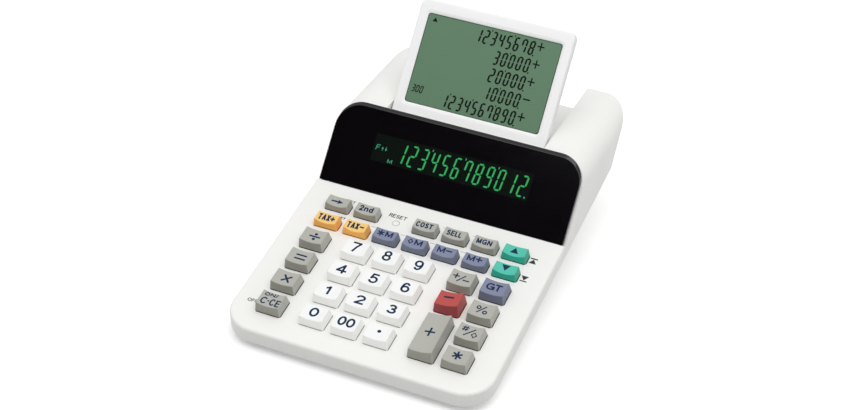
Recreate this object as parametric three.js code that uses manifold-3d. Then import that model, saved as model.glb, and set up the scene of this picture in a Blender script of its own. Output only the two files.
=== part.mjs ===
// Desktop calculator: a sloped keyboard, a tall hood with a dark display window, and a second, flip-up
// screen hinged between two rear arms. Millimetres, +Z up, +X to the user's right, +Y to the back.
// The origin is on the table, in the middle of the calculator's depth and width.
//
// Three groups carry the pieces. The table group stands square on the table. The deck group is tilted with
// the keyboard: y runs back along the deck from its front edge and z stands square to the keys. Inside it,
// the window group lies in the display window's face, and the screen group turns on the screen's hinge.
import * as THREE from 'three';
import { mergeVertices } from 'three/addons/utils/BufferGeometryUtils.js';
import Module from 'manifold-3d';

const wasm = await Module();
wasm.setup();

const { degToRad } = THREE.MathUtils;

// Clearances
const seatGap = 0.3;
const runningGap = 0.35;
const overrun = 5;
const weldDistance = 0.0001;
const cornerSteps = 8;
const smallCornerSteps = 1;
const roundSides = 24;
const smallRoundSides = 16;

// Whole body
const deckSlope = degToRad(10.5);
const frontHeight = 14;
const skirtHeight = 9.9;
const caseWall = 2.2;
const frontCornerRadius = 18;
const rearCornerRadius = 12.5;
const deckEdgeRadius = 1.8;
const deckEdgeSteps = 4;
const skirtBehindHinge = 49;
const armOverhang = 23.6;

// Display window
const windowTilt = degToRad(42);
const windowLength = 51.6;
const windowSideMargin = 1.1;
const windowThickness = 3;
const windowCornerRadius = 16;
const windowFootRadius = 1;
const windowChamfer = 2.2;
const windowChamferDepth = 1.2;
const windowTopOverhang = 1.2;
const displayWidth = 98;
const displayFootMargin = 18.6;
const displayTopMargin = 16.6;
const displayOpeningMargin = 1;
const moduleMargin = 3.5;
const moduleThickness = 5;

// Rear well between the arms
const wellDepth = 12;
const wellBeforeHinge = 5.4;
const screenSideGap = 1;

// Flip-up screen
const screenTilt = degToRad(43);
const screenWidth = 96.6;
const screenHeight = 73.2;
const screenThickness = 7.5;
const screenFrameDepth = 3.6;
const screenTopRadius = 3.5;
const screenFootRadius = 2;
const screenEdgeChamfer = 0.8;
const screenBackChamfer = 1.6;
const hingeBehindHood = 6.737;
const hingeBelowArm = 5.923;
const hingeAboveFoot = 3;
const hingeBehindFace = 4;
const glassSideMargin = 6.6;
const glassFootMargin = 11;
const glassTopMargin = 8;
const glassRadius = 1.6;
const glassRecess = 0.6;
const glassThickness = 4.4;
const glassClearance = 0.15;
const pinRadius = 2;
const pinBoreRadius = 2.3;
const pinReach = 6.5;
const pinBossRadius = 4.4;
const pinBossLength = 4;
const pinWireRadius = 1.2;
const pinWireDepth = 4;

// Keys: sizes of the two kinds of cap, the gaps between them and their distances from the deck's edges
const bigKey = {
  width: 15, depth: 13, height: 6.8, sideTaper: 0.75, frontTaper: 0.2, rearTaper: 2.1, dish: 1.1,
};
const smallKey = {
  width: 15, depth: 7.9, height: 5.5, sideTaper: 0.9, frontTaper: 0.2, rearTaper: 0.5, dish: 1.2,
};
const numberGap = 4;
const rightColumnGap = 4.25;
const upperGap = 3.25;
const rowGap = 5;
const upperRowsGap = 6.1;
const betweenUpperRows = 7.1;
const deckFrontMargin = 14.1;
const deckSideMargin = 15.55;
const keysToWindow = 14.5;
const upperColumnSteps = [-3, -2, -1, 0, 1, 2, 3];
const numberColumnSteps = [-1, 0, 1];
const lowerRowSteps = [0, 1, 2, 3];
const keyCorner = 0.8;
const keyWall = 1.2;
const keyFlange = 0.9;
const keyFlangeThickness = 1.2;
const keyTravel = 2.5;
const keyPost = 3.2;
const dishSteps = 4;

// Boards under the keys
const boardSideMargin = 2.25;
const boardFrontMargin = 9.1;
const boardRearMargin = 2.4;
const boardThickness = 1.6;
const boardCorner = 3;
const membraneInset = 1;
const membraneThickness = 1;
const domeHeight = 0.4;
const domeRadius = 3;
const domeTopRadius = 1.8;
const domeSides = 6;
const domeClearance = 0.4;
const boardBossRadius = 2.5;
const boardBossHoleRadius = 3.1;

// Reset button
const resetRadius = 1.4;
const resetHoleRadius = 1.75;
const resetRecess = 0.8;
const resetFlangeRadius = 2.6;
const resetFlangeThickness = 1;
const resetStemLength = 1.6;

// Base case
const baseLift = 2.4;
const baseInset = 2.6;
const baseRearInset = 0.8;
const baseWall = 2.2;
const sideLean = 0.35;
const frontLean = 1;
const rearLean = 0.573;
const screwFrontSideMargin = 19.8;
const screwBeforeWindow = 4.5;
const screwBesideWell = 5.5;
const screwRearMargin = 20.6;
const screwBossRadius = 4.6;
const screwBossHeight = 11;
const screwHeadRadius = 3.2;
const screwWeb = 2.4;
const screwPostRadius = 3.6;

// Feet
const footRadius = 6;
const footHeight = 3.2;
const footChamfer = 0.5;
const footSideMargin = 23.8;
const footBesideDoor = 14.65;
const footFrontY = 16;
const footRearMargin = 9.6;

// Batteries, their bay, its door and its contacts
const batteryCount = 4;
const batteryRadius = 7.1;
const batteryLength = 50.5;
const batteryNubRadius = 2.75;
const batteryNubLength = 1;
const batteryPitch = 14.9;
const bayWall = 3.4;
const bayRearMargin = 2.6;
const doorThickness = 2.2;
const doorLip = 1.6;
const contactThickness = 0.5;
const contactHeight = 9;
const contactTabHeight = 4;
const contactTabWidth = 6;

// Power jack in the rear wall
const jackX = -50;
const jackZ = 30;
const jackRadius = 4.7;
const jackHoleRadius = 5.1;
const jackBoreRadius = 3.2;
const jackLength = 13;
const jackBoreDepth = 11;
const jackInset = 1.41;

// Wires from the board to the screen's hollow hinge pin, in deck coordinates
const wireRadius = 1;
const wireSides = 8;
const wireSteps = 26;
const wireRoute = [
  [-40, 112.9, -9.1], [-40, 118, -9.1], [-45, 128, -6], [-53.5, 146, 2], [-57, 158, 11],
  [-60.5, 167, 19.5], [-60.2, 170.6, 23.4], [-56.2, 171, 24.1],
];

// Colours of the finishes
const warmWhite = 0xf1f1ee;
const keyWhite = 0xf6f6f4;
const keyGrey = 0xb2b2aa;
const keyOrange = 0xfab955;
const keyViolet = 0x7d82a5;
const keyTeal = 0x50c8af;
const keyRed = 0xcd4b4b;
const smokedBlack = 0x0a080c;
const glassGreen = 0x617f68;
const boardGreen = 0x2f5a3c;
const rubberGrey = 0x3c3c3e;
const steel = 0xb8bbc0;
const batteryBlue = 0x2d4f7c;

// Columns and rows of the keys, and what their places give
const numberPitch = bigKey.width + numberGap;
const rowPitch = bigKey.depth + rowGap;
const upperPitch = smallKey.width + upperGap;
const upperColumns = upperColumnSteps.map((step) => step * upperPitch);
const outerColumn = Math.max(...upperColumns);
const rightColumn = outerColumn - bigKey.width - rightColumnGap;
const numberCentre = (rightColumn - outerColumn) / 2;
const numberColumns = numberColumnSteps.map((step) => numberCentre + step * numberPitch);
const lowerRows = lowerRowSteps.map((step) => deckFrontMargin + step * rowPitch);
const lastLowerRow = Math.max(...lowerRows);
const firstUpperRow = lastLowerRow + bigKey.depth + upperRowsGap;
const upperRows = [firstUpperRow, firstUpperRow + smallKey.depth + betweenUpperRows];
const keysRearY = Math.max(...upperRows) + smallKey.depth;
const bodyWidth = 2 * (outerColumn + bigKey.width / 2 + deckSideMargin);
const windowFoot = keysRearY + keysToWindow;
const boardHalfWidth = outerColumn + bigKey.width / 2 + boardSideMargin;
const boardFrontY = deckFrontMargin - boardFrontMargin;
const boardRearY = keysRearY + boardRearMargin;
const boardBossColumns = [
  (Math.min(...numberColumns) - outerColumn) / 2,
  (Math.max(...numberColumns) + rightColumn) / 2,
];
const boardBossRows = [deckFrontMargin, lastLowerRow].map((y) => y + bigKey.depth / 2);
const resetX = -upperPitch;
const resetY = keysRearY - smallKey.depth / 2;

// Other sizes worked out from the driving ones
const halfWidth = bodyWidth / 2;
const hoodLength = windowLength - windowTopOverhang;
const hoodCornerRadius = windowCornerRadius + windowSideMargin;
const displayHeight = windowLength - displayTopMargin - displayFootMargin;
const displayCentre = displayFootMargin + displayHeight / 2;
const windowHalf = halfWidth - windowSideMargin;
const wellHalf = screenWidth / 2 + screenSideGap;
const keyFlangeTop = -caseWall - seatGap;
const keyFlangeBottom = keyFlangeTop - keyFlangeThickness;
const domeTop = keyFlangeBottom - keyTravel - domeClearance;
const membraneTop = domeTop - domeHeight;
const boardTop = membraneTop - membraneThickness - seatGap;

// A point of the deck group, given as y and z, in the table group's y and z before the origin is centred
function deckToTable(y, z) {
  return [
    y * Math.cos(deckSlope) - z * Math.sin(deckSlope),
    y * Math.sin(deckSlope) + z * Math.cos(deckSlope) + frontHeight,
  ];
}

// Point of the window's face plane, sunk below the face, in deck coordinates
function windowPoint(x, up, sunk) {
  return [
    x,
    windowFoot + up * Math.cos(windowTilt) + sunk * Math.sin(windowTilt),
    up * Math.sin(windowTilt) - sunk * Math.cos(windowTilt),
  ];
}

// The arms' tops start at the hood's upper edge and run back level with the table
const hoodSunk = windowThickness + seatGap;
const [, hoodTopY, hoodTopZ] = windowPoint(0, hoodLength, hoodSunk);
const armTopZ = (y) => hoodTopZ - (y - hoodTopY) * Math.tan(deckSlope);
const hingeY = hoodTopY + hingeBehindHood;
const hingeZ = armTopZ(hingeY) - hingeBelowArm;
const wellFrontY = hingeY - wellBeforeHinge;
const rearSkirtY = hingeY + skirtBehindHinge;
const armRearY = rearSkirtY + armOverhang;
const rearWallLean = (armRearY - rearSkirtY) / (armTopZ(armRearY) + skirtHeight);
const bodyFrontY = deckToTable(0, -deckEdgeRadius)[0];
const bodyRearY = deckToTable(armRearY, armTopZ(armRearY))[0];
const bodyDepth = bodyRearY - bodyFrontY;
const armTopHeight = deckToTable(armRearY, armTopZ(armRearY))[1];

// A closed mesh as a solid that can be joined and cut
function solid(geometry) {
  const bare = geometry.clone();
  bare.deleteAttribute('normal');
  bare.deleteAttribute('uv');
  const merged = mergeVertices(bare, weldDistance);
  const mesh = new wasm.Mesh({
    numProp: 3,
    vertProperties: new Float32Array(merged.attributes.position.array),
    triVerts: new Uint32Array(merged.index.array),
  });
  return new wasm.Manifold(mesh);
}

function geometryOf(body) {
  const mesh = body.getMesh();
  const geometry = new THREE.BufferGeometry();
  geometry.setAttribute('position', new THREE.BufferAttribute(mesh.vertProperties, mesh.numProp));
  geometry.setIndex(new THREE.BufferAttribute(mesh.triVerts, 1));
  geometry.computeVertexNormals();
  return geometry;
}

const joined = (bodies) => bodies.reduce((whole, body) => whole.add(body));

// Rectangle with rounded corners, its points in order from the front right corner
function roundedLoop({ half, front, rear, frontRadius, rearRadius, steps = cornerSteps }) {
  const corners = [
    [half - frontRadius, front + frontRadius, frontRadius, -Math.PI / 2],
    [half - rearRadius, rear - rearRadius, rearRadius, 0],
    [-half + rearRadius, rear - rearRadius, rearRadius, Math.PI / 2],
    [-half + frontRadius, front + frontRadius, frontRadius, Math.PI],
  ];
  return corners.flatMap(([x, y, radius, start]) => Array.from({ length: steps + 1 }, (_, i) => {
    const angle = start + (Math.PI / 2) * (i / steps);
    return [x + radius * Math.cos(angle), y + radius * Math.sin(angle)];
  }));
}

const atHeight = (loop, z) => loop.map(([x, y]) => [x, y, z]);

// Skin over rings of points, closed by a flat cap at each end
function loft(rings) {
  const count = rings[0].length;
  const faces = [];
  for (let ring = 0; ring < rings.length - 1; ring += 1) {
    for (let i = 0; i < count; i += 1) {
      const a = ring * count + i;
      const b = ring * count + ((i + 1) % count);
      faces.push(a, b, b + count, a, b + count, a + count);
    }
  }
  const last = (rings.length - 1) * count;
  for (let i = 1; i < count - 1; i += 1) {
    faces.push(0, i + 1, i);
    faces.push(last, last + i, last + i + 1);
  }
  const geometry = new THREE.BufferGeometry();
  geometry.setAttribute('position', new THREE.Float32BufferAttribute(rings.flat(2), 3));
  geometry.setIndex(faces);
  return solid(geometry);
}

// Plate or block with a rounded outline; each level is a height and how far the outline is drawn in there
function roundedBlock(outline, levels) {
  return loft(levels.map(([z, inset = 0]) => atHeight(roundedLoop({
    ...outline,
    half: outline.half - inset,
    front: outline.front + inset,
    rear: outline.rear - inset,
    frontRadius: Math.max(outline.frontRadius - inset, weldDistance),
    rearRadius: Math.max(outline.rearRadius - inset, weldDistance),
  }), z)));
}

function box(width, depth, height, x, y, z) {
  return solid(new THREE.BoxGeometry(width, depth, height).translate(x, y, z));
}

// Cylinder standing on z, or lying along x
function upright(radius, low, high, x, y, sides = roundSides) {
  const geometry = new THREE.CylinderGeometry(radius, radius, high - low, sides).rotateX(Math.PI / 2);
  return solid(geometry.translate(x, y, (low + high) / 2));
}

function alongX(radius, low, high, y, z, sides = roundSides) {
  const geometry = new THREE.CylinderGeometry(radius, radius, high - low, sides).rotateZ(Math.PI / 2);
  return solid(geometry.translate((low + high) / 2, y, z));
}

// Turned piece: a closed profile of radius and height, standing on z
function turned(profile, sides = roundSides) {
  const points = profile.map(([radius, height]) => new THREE.Vector2(radius, height));
  return new THREE.LatheGeometry(points, sides).rotateX(Math.PI / 2);
}

// Groups
const calculator = new THREE.Group();
const tableGroup = new THREE.Group();
const deckGroup = new THREE.Group();
const windowGroup = new THREE.Group();
const screenGroup = new THREE.Group();
tableGroup.position.y = -(bodyFrontY + bodyRearY) / 2;
deckGroup.position.z = frontHeight;
deckGroup.rotation.x = deckSlope;
windowGroup.position.y = windowFoot;
windowGroup.rotation.x = windowTilt;
screenGroup.position.set(0, hingeY, hingeZ);
screenGroup.rotation.x = screenTilt;
calculator.add(tableGroup);
tableGroup.add(deckGroup);
deckGroup.add(windowGroup, screenGroup);

function finish(color, roughness, metalness = 0, extra = {}) {
  return new THREE.MeshStandardMaterial({ color, roughness, metalness, ...extra });
}

function place(group, name, body, material) {
  const geometry = body.isBufferGeometry ? body : geometryOf(body);
  const mesh = new THREE.Mesh(geometry, material);
  mesh.name = name;
  group.add(mesh);
  return mesh;
}

// Key table. Every row is listed from left to right and the rows from front to back. A key is its name and
// finish; a place with no key of its own is null. The plus key is as deep as two rows.
const tallKey = { ...bigKey, depth: bigKey.depth + rowPitch };
const lowerColumns = [-outerColumn, ...numberColumns, rightColumn, outerColumn];

const lowerKeys = [
  [
    ['key_on_clear', keyGrey], ['key_0', keyWhite], ['key_00', keyWhite],
    ['key_point', keyWhite], ['key_plus', keyGrey, tallKey], ['key_total', keyGrey],
  ],
  [
    ['key_multiply', keyGrey], ['key_1', keyWhite], ['key_2', keyWhite],
    ['key_3', keyWhite], null, ['key_subtotal', keyGrey],
  ],
  [
    ['key_equals', keyGrey], ['key_4', keyWhite], ['key_5', keyWhite],
    ['key_6', keyWhite], ['key_minus', keyRed], ['key_percent', keyGrey],
  ],
  [
    ['key_divide', keyGrey], ['key_7', keyWhite], ['key_8', keyWhite],
    ['key_9', keyWhite], ['key_sign_change', keyGrey], ['key_grand_total', keyViolet],
  ],
];

const upperKeys = [
  [
    ['key_tax_plus', keyOrange], ['key_tax_minus', keyOrange], ['key_memory_total', keyViolet],
    ['key_memory_subtotal', keyViolet], ['key_memory_minus', keyViolet], ['key_memory_plus', keyViolet],
    ['key_scroll_down', keyTeal],
  ],
  [
    ['key_backspace', keyGrey], ['key_second', keyGrey], null,
    ['key_cost', keyGrey], ['key_sell', keyGrey], ['key_margin', keyGrey],
    ['key_scroll_up', keyTeal],
  ],
];

function keysInPlace(table, columns, rows, usualShape) {
  return table.flatMap((row, j) => row.map((key, i) => {
    const [name, color, shape = usualShape] = key ?? [];
    return { name, color, shape, x: columns[i], y: rows[j] };
  })).filter(({ name }) => name);
}

const keys = [
  ...keysInPlace(lowerKeys, lowerColumns, lowerRows, bigKey),
  ...keysInPlace(upperKeys, upperColumns, upperRows, smallKey),
];

// Outline of a key, or of its hole, grown on every side
function keyOutline({ width, depth }, grow) {
  const corner = Math.max(keyCorner + grow, keyCorner);
  return {
    half: width / 2 + grow,
    front: -grow,
    rear: depth + grow,
    frontRadius: corner,
    rearRadius: corner,
    steps: smallCornerSteps,
  };
}

function keyRing(shape, grow, z) {
  return atHeight(roundedLoop(keyOutline(shape, grow)), z);
}

// Ring at the top of the cap, narrower by the tapers of its four sides
function keyTopRing({ width, depth, sideTaper, frontTaper, rearTaper }, inset, z) {
  return atHeight(roundedLoop({
    half: width / 2 - sideTaper - inset,
    front: frontTaper + inset,
    rear: depth - rearTaper - inset,
    frontRadius: keyCorner,
    rearRadius: keyCorner,
    steps: smallCornerSteps,
  }), z);
}

// Block whose top is hollowed like a finger dish, lower in the middle of the key's width
function dishBlock({ width, depth, height, dish, sideTaper }) {
  const half = width / 2 - sideTaper;
  const profile = new THREE.Shape();
  profile.moveTo(-width, keyFlangeBottom - overrun);
  profile.lineTo(width, keyFlangeBottom - overrun);
  profile.lineTo(width, height);
  for (let i = 0; i <= dishSteps; i += 1) {
    const x = half - (2 * half * i) / dishSteps;
    profile.lineTo(x, height - dish * (1 - (x / half) ** 2));
  }
  profile.lineTo(-width, height);
  const geometry = new THREE.ExtrudeGeometry(profile, { depth: depth + 2 * overrun, bevelEnabled: false });
  return solid(geometry.rotateX(Math.PI / 2).translate(0, depth + overrun, 0));
}

// Moulded cap: tapered, dished and hollow, with a flange under the case and a post over the rubber dome
function keyCap(shape) {
  const outer = loft([
    keyRing(shape, keyFlange, keyFlangeBottom),
    keyRing(shape, keyFlange, keyFlangeTop),
    keyRing(shape, 0, keyFlangeTop),
    keyRing(shape, 0, 0),
    keyTopRing(shape, 0, shape.height),
  ]);
  const ceiling = shape.height - shape.dish - keyWall;
  const hollow = loft([
    keyRing(shape, -keyWall, keyFlangeBottom - overrun),
    keyRing(shape, -keyWall, 0),
    keyTopRing(shape, keyWall, ceiling),
  ]);
  const postHeight = ceiling - keyFlangeBottom + keyWall / 2;
  const post = box(keyPost, keyPost, postHeight, 0, shape.depth / 2, keyFlangeBottom + postHeight / 2);
  return outer.intersect(dishBlock(shape)).subtract(hollow).add(post);
}

function makeKeys() {
  for (const { name, x, y, shape, color } of keys) {
    const mesh = place(deckGroup, name, keyCap(shape), finish(color, 0.45));
    mesh.position.set(x, y, 0);
  }
}

function keyHoles() {
  return joined(keys.map(({ x, y, shape }) => roundedBlock(keyOutline(shape, runningGap), [
    [-caseWall - overrun], [overrun],
  ]).translate(x, y, 0)));
}

// Plan outline of the body seen square to the deck; the rear edge moves back with height, as the rear
// wall leans
function planRing(inset, z) {
  return atHeight(roundedLoop({
    half: halfWidth - inset,
    front: inset,
    rear: rearSkirtY + (z + skirtHeight) * rearWallLean - inset,
    frontRadius: frontCornerRadius - inset,
    rearRadius: rearCornerRadius - inset,
  }), z);
}

// Hood: the window's outline swept level towards the back
function hoodBody(inset, sunk) {
  const loop = roundedLoop({
    half: halfWidth - inset,
    front: -windowLength,
    rear: hoodLength - inset,
    frontRadius: weldDistance,
    rearRadius: hoodCornerRadius - inset,
    steps: 2 * cornerSteps,
  });
  const start = loop.map(([x, up]) => windowPoint(x, up, sunk));
  const reach = armRearY;
  const end = start.map(([x, y, z]) => [x, y + reach * Math.cos(deckSlope), z - reach * Math.sin(deckSlope)]);
  return loft([end, start]);
}

// The deck's rounded edge, as outlines from the upright wall to the flat deck
function deckEdgeRings() {
  return Array.from({ length: deckEdgeSteps + 1 }, (_, i) => {
    const angle = (Math.PI / 2) * (i / deckEdgeSteps);
    return planRing(deckEdgeRadius * (1 - Math.cos(angle)), deckEdgeRadius * (Math.sin(angle) - 1));
  });
}

// The body's outer or inner shape: the deck slab and the hood, inside the leaning plan outline
function bodyShape(inset, deckZ, sunk, bottom) {
  const upperRings = inset > 0 ? [planRing(inset, deckZ)] : deckEdgeRings();
  const slab = loft([planRing(inset, bottom), ...upperRings]);
  const plan = loft([planRing(inset, bottom), planRing(inset, windowLength)]);
  return slab.add(hoodBody(inset, sunk).intersect(plan));
}

// Level box cut between the arms, open at the top and the rear
function wellBody(grow) {
  const length = bodyDepth;
  const depth = wellDepth + grow + overrun;
  const geometry = new THREE.BoxGeometry(2 * (wellHalf + grow), length, depth);
  geometry.translate(0, length / 2 - grow, overrun - depth / 2);
  geometry.rotateX(-deckSlope);
  return solid(geometry.translate(0, wellFrontY, armTopZ(wellFrontY)));
}

// Room for the window plate over the hood's sloping front, across the whole width
function windowPocket() {
  const depth = hoodSunk + overrun;
  const geometry = new THREE.BoxGeometry(2 * bodyWidth, 2 * windowLength, depth);
  geometry.translate(0, windowLength - seatGap, depth / 2 - hoodSunk);
  geometry.rotateX(windowTilt);
  return solid(geometry.translate(0, windowFoot, 0));
}

function displayOpening() {
  const height = displayHeight + 2 * displayOpeningMargin;
  const depth = windowThickness + caseWall + 2 * overrun;
  const geometry = new THREE.BoxGeometry(displayWidth + 2 * displayOpeningMargin, height, depth);
  geometry.translate(0, displayCentre, -depth / 2);
  geometry.rotateX(windowTilt);
  return solid(geometry.translate(0, windowFoot, 0));
}

// Posts that the case screws bite into, reaching down from the deck and the arms
function screwPosts() {
  const low = baseLift + screwBossHeight + seatGap;
  const tops = [
    deckToTable(screwPlaces[0][1], -caseWall / 2)[1],
    armTopHeight - caseWall / 2,
  ];
  return joined(screwPlaces.flatMap(([x, y], i) => [-x, x].map((side) => {
    const radius = screwPostRadius;
    const geometry = new THREE.CylinderGeometry(radius, radius, tops[i] - low, smallRoundSides);
    geometry.rotateX(Math.PI / 2).translate(side, y, (low + tops[i]) / 2 - frontHeight);
    return solid(geometry.rotateX(-deckSlope));
  })));
}

function boardBosses() {
  return joined(boardBossColumns.flatMap((x) => boardBossRows.map((y) => (
    upright(boardBossRadius, boardTop + seatGap, -caseWall / 2, x, y, smallRoundSides)
  ))));
}

function hingeBosses() {
  return joined([-1, 1].map((side) => {
    const inner = side * (wellHalf + caseWall / 2);
    const outer = side * (wellHalf + caseWall + pinBossLength);
    return alongX(pinBossRadius, Math.min(inner, outer), Math.max(inner, outer), hingeY, hingeZ);
  }));
}

function makeTopCase() {
  const outer = bodyShape(0, 0, hoodSunk, -skirtHeight);
  const inner = bodyShape(caseWall, -caseWall, hoodSunk + caseWall, -skirtHeight - overrun);
  const boreEnd = wellHalf + caseWall + pinBossLength + seatGap;
  const hinge = alongX(pinBoreRadius, -boreEnd, boreEnd, hingeY, hingeZ);
  const reset = upright(resetHoleRadius, -caseWall - overrun, overrun, resetX, resetY, smallRoundSides);
  const shell = outer
    .subtract(windowPocket())
    .subtract(inner.subtract(wellBody(caseWall)))
    .subtract(wellBody(0))
    .add(screwPosts())
    .add(boardBosses())
    .add(hingeBosses());
  const body = shell.subtract(hinge).subtract(keyHoles()).subtract(reset).subtract(displayOpening());
  place(deckGroup, 'top_case', body, finish(warmWhite, 0.5));
}

function makeWindow() {
  const outline = {
    half: windowHalf,
    front: 0,
    rear: windowLength,
    frontRadius: windowFootRadius,
    rearRadius: windowCornerRadius,
    steps: 2 * cornerSteps,
  };
  const plate = roundedBlock(outline, [
    [-windowThickness], [-windowChamferDepth], [0, windowChamfer],
  ]);
  place(windowGroup, 'display_window', plate, finish(smokedBlack, 0.08));
}

function makeDisplayModule() {
  const top = -windowThickness - caseWall - 2 * seatGap;
  const outline = {
    half: displayWidth / 2 + moduleMargin,
    front: displayCentre - displayHeight / 2 - moduleMargin,
    rear: displayCentre + displayHeight / 2 + moduleMargin,
    frontRadius: windowFootRadius,
    rearRadius: windowFootRadius,
  };
  const body = roundedBlock(outline, [[top - moduleThickness], [top]]);
  place(windowGroup, 'display_module', body, finish(rubberGrey, 0.3));
}

// Screen: outline in the screen group, whose origin is the hinge axis and whose z points out of the face
const screenOutline = {
  half: screenWidth / 2,
  front: -hingeAboveFoot,
  rear: screenHeight - hingeAboveFoot,
  frontRadius: screenFootRadius,
  rearRadius: screenTopRadius,
};
const screenBackZ = hingeBehindFace - screenThickness;
const screenSplitZ = hingeBehindFace - screenFrameDepth;

function glassOutline(grow) {
  return {
    half: screenOutline.half - glassSideMargin + grow,
    front: screenOutline.front + glassFootMargin - grow,
    rear: screenOutline.rear - glassTopMargin + grow,
    frontRadius: glassRadius,
    rearRadius: glassRadius,
    steps: 2,
  };
}

function pinBores(depth) {
  const inner = screenWidth / 2 - depth;
  return joined([-1, 1].map((side) => {
    const ends = [side * inner, side * (halfWidth)];
    return alongX(pinBoreRadius, Math.min(...ends), Math.max(...ends), 0, 0);
  }));
}

function makeScreen() {
  const frame = roundedBlock(screenOutline, [
    [screenSplitZ], [hingeBehindFace - screenEdgeChamfer], [hingeBehindFace, screenEdgeChamfer],
  ]);
  const frameHole = roundedBlock(glassOutline(glassClearance), [[screenBackZ], [hingeBehindFace + overrun]]);
  const bores = pinBores(pinReach + seatGap);
  place(screenGroup, 'screen_frame', frame.subtract(frameHole).subtract(bores), finish(warmWhite, 0.45));

  const cover = roundedBlock(screenOutline, [
    [screenBackZ, screenBackChamfer], [screenBackZ + screenBackChamfer], [screenSplitZ - seatGap],
  ]);
  const glassBack = hingeBehindFace - glassRecess - glassThickness;
  const pocket = roundedBlock(glassOutline(glassClearance), [
    [glassBack - seatGap], [hingeBehindFace + overrun],
  ]);
  place(screenGroup, 'screen_back_cover', cover.subtract(pocket).subtract(bores), finish(warmWhite, 0.5));

  const glass = roundedBlock(glassOutline(0), [[glassBack], [hingeBehindFace - glassRecess]]);
  place(screenGroup, 'screen_glass', glass, finish(glassGreen, 0.2));
}

// Hollow hinge pins, fixed in the screen and turning in the arms' bosses
function makeHingePins() {
  const length = 2 * pinReach + screenSideGap;
  const profile = [
    [0, 0], [pinRadius, 0], [pinRadius, length], [pinWireRadius, length],
    [pinWireRadius, length - pinWireDepth], [0, length - pinWireDepth],
  ];
  for (const [name, side] of [['hinge_pin_left', -1], ['hinge_pin_right', 1]]) {
    const pin = place(screenGroup, name, turned(profile), finish(steel, 0.3, 1));
    pin.rotation.y = side * (Math.PI / 2);
    pin.position.x = side * (screenWidth / 2 - pinReach);
  }
}

function makeMembrane() {
  const outline = {
    half: boardHalfWidth - membraneInset,
    front: boardFrontY + membraneInset,
    rear: boardRearY - membraneInset,
    frontRadius: boardCorner,
    rearRadius: boardCorner,
  };
  const sheet = roundedBlock(outline, [[membraneTop - membraneThickness], [membraneTop]]);
  const domes = keys.map(({ x, y, shape }) => {
    const height = domeHeight + membraneThickness / 2;
    const geometry = new THREE.CylinderGeometry(domeTopRadius, domeRadius, height, domeSides);
    geometry.rotateX(Math.PI / 2).translate(x, y + shape.depth / 2, domeTop - height / 2);
    return solid(geometry);
  });
  const holes = boardBossColumns.flatMap((x) => boardBossRows.map((y) => (
    upright(boardBossHoleRadius, boardTop, domeTop, x, y, smallRoundSides)
  )));
  place(deckGroup, 'key_membrane', joined([sheet, ...domes]).subtract(joined(holes)), finish(rubberGrey, 0.9));
}

function makeBoard() {
  const outline = {
    half: boardHalfWidth,
    front: boardFrontY,
    rear: boardRearY,
    frontRadius: boardCorner,
    rearRadius: boardCorner,
  };
  const body = roundedBlock(outline, [[boardTop - boardThickness], [boardTop]]);
  place(deckGroup, 'main_board', body, finish(boardGreen, 0.5));
}

function makeResetButton() {
  const profile = [
    [0, keyFlangeTop - resetFlangeThickness - resetStemLength],
    [resetRadius, keyFlangeTop - resetFlangeThickness - resetStemLength],
    [resetRadius, keyFlangeTop - resetFlangeThickness],
    [resetFlangeRadius, keyFlangeTop - resetFlangeThickness],
    [resetFlangeRadius, keyFlangeTop],
    [resetRadius, keyFlangeTop],
    [resetRadius, -resetRecess],
    [0, -resetRecess],
  ];
  const button = place(deckGroup, 'reset_button', turned(profile, smallRoundSides), finish(keyGrey, 0.5));
  button.position.set(resetX, resetY, 0);
}

// Base: rings that follow the deck at the rim and the table at the floor, with walls that lean inwards
function baseRing(inset, down, floor) {
  const loop = roundedLoop({
    half: halfWidth - baseInset - inset,
    front: baseInset + inset,
    rear: rearSkirtY - baseRearInset - inset,
    frontRadius: frontCornerRadius - baseInset - inset,
    rearRadius: rearCornerRadius - inset,
  });
  const middle = (rearSkirtY + baseInset) / 2;
  return loop.map(([x, y]) => {
    const [tableY, tableZ] = deckToTable(y, -skirtHeight - seatGap + down);
    if (floor === undefined) return [x, tableY, tableZ];
    const fall = tableZ - floor;
    const lean = y < middle ? frontLean : -rearLean;
    return [x * (1 - (sideLean * fall) / halfWidth), tableY + lean * fall, floor];
  });
}

// Place of the base's rear wall on its outside, at a height over the table
const [baseRimRearY, baseRimRearZ] = deckToTable(rearSkirtY - baseRearInset, -skirtHeight - seatGap);
const baseRearAt = (z) => baseRimRearY - rearLean * (baseRimRearZ - z);
const baseRearY = baseRearAt(baseLift);

const bayHalf = (batteryPitch * (batteryCount - 1)) / 2 + batteryRadius + seatGap;
const bayRearY = baseRearY - bayRearMargin;
const bayFrontY = bayRearY - batteryLength - 3 * seatGap - contactThickness;
const batteryZ = baseLift + doorThickness + seatGap + batteryRadius;
const bayCeiling = batteryZ + batteryRadius + seatGap;

// Walls and roof of the battery bay, standing on the base's floor
function bayBlock() {
  const width = 2 * (bayHalf + bayWall);
  const depth = bayRearY - bayFrontY + 2 * bayWall;
  const height = bayCeiling + bayWall - baseLift;
  return box(width, depth, height, 0, (bayRearY + bayFrontY) / 2, baseLift + height / 2);
}

function bayHollow() {
  const height = bayCeiling - baseLift + overrun;
  return box(2 * bayHalf, bayRearY - bayFrontY, height, 0, (bayRearY + bayFrontY) / 2, bayCeiling - height / 2);
}

const doorHalf = bayHalf + doorLip;
const doorFrontY = bayFrontY - doorLip;

// Shallow recess for the sliding door, open at the base's rear edge
function doorRecess() {
  const depth = bodyDepth - doorFrontY;
  const height = doorThickness + seatGap + overrun;
  return box(
    2 * (doorHalf + seatGap),
    depth,
    height,
    0,
    doorFrontY - seatGap + depth / 2,
    baseLift + doorThickness + seatGap - height / 2,
  );
}

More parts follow.
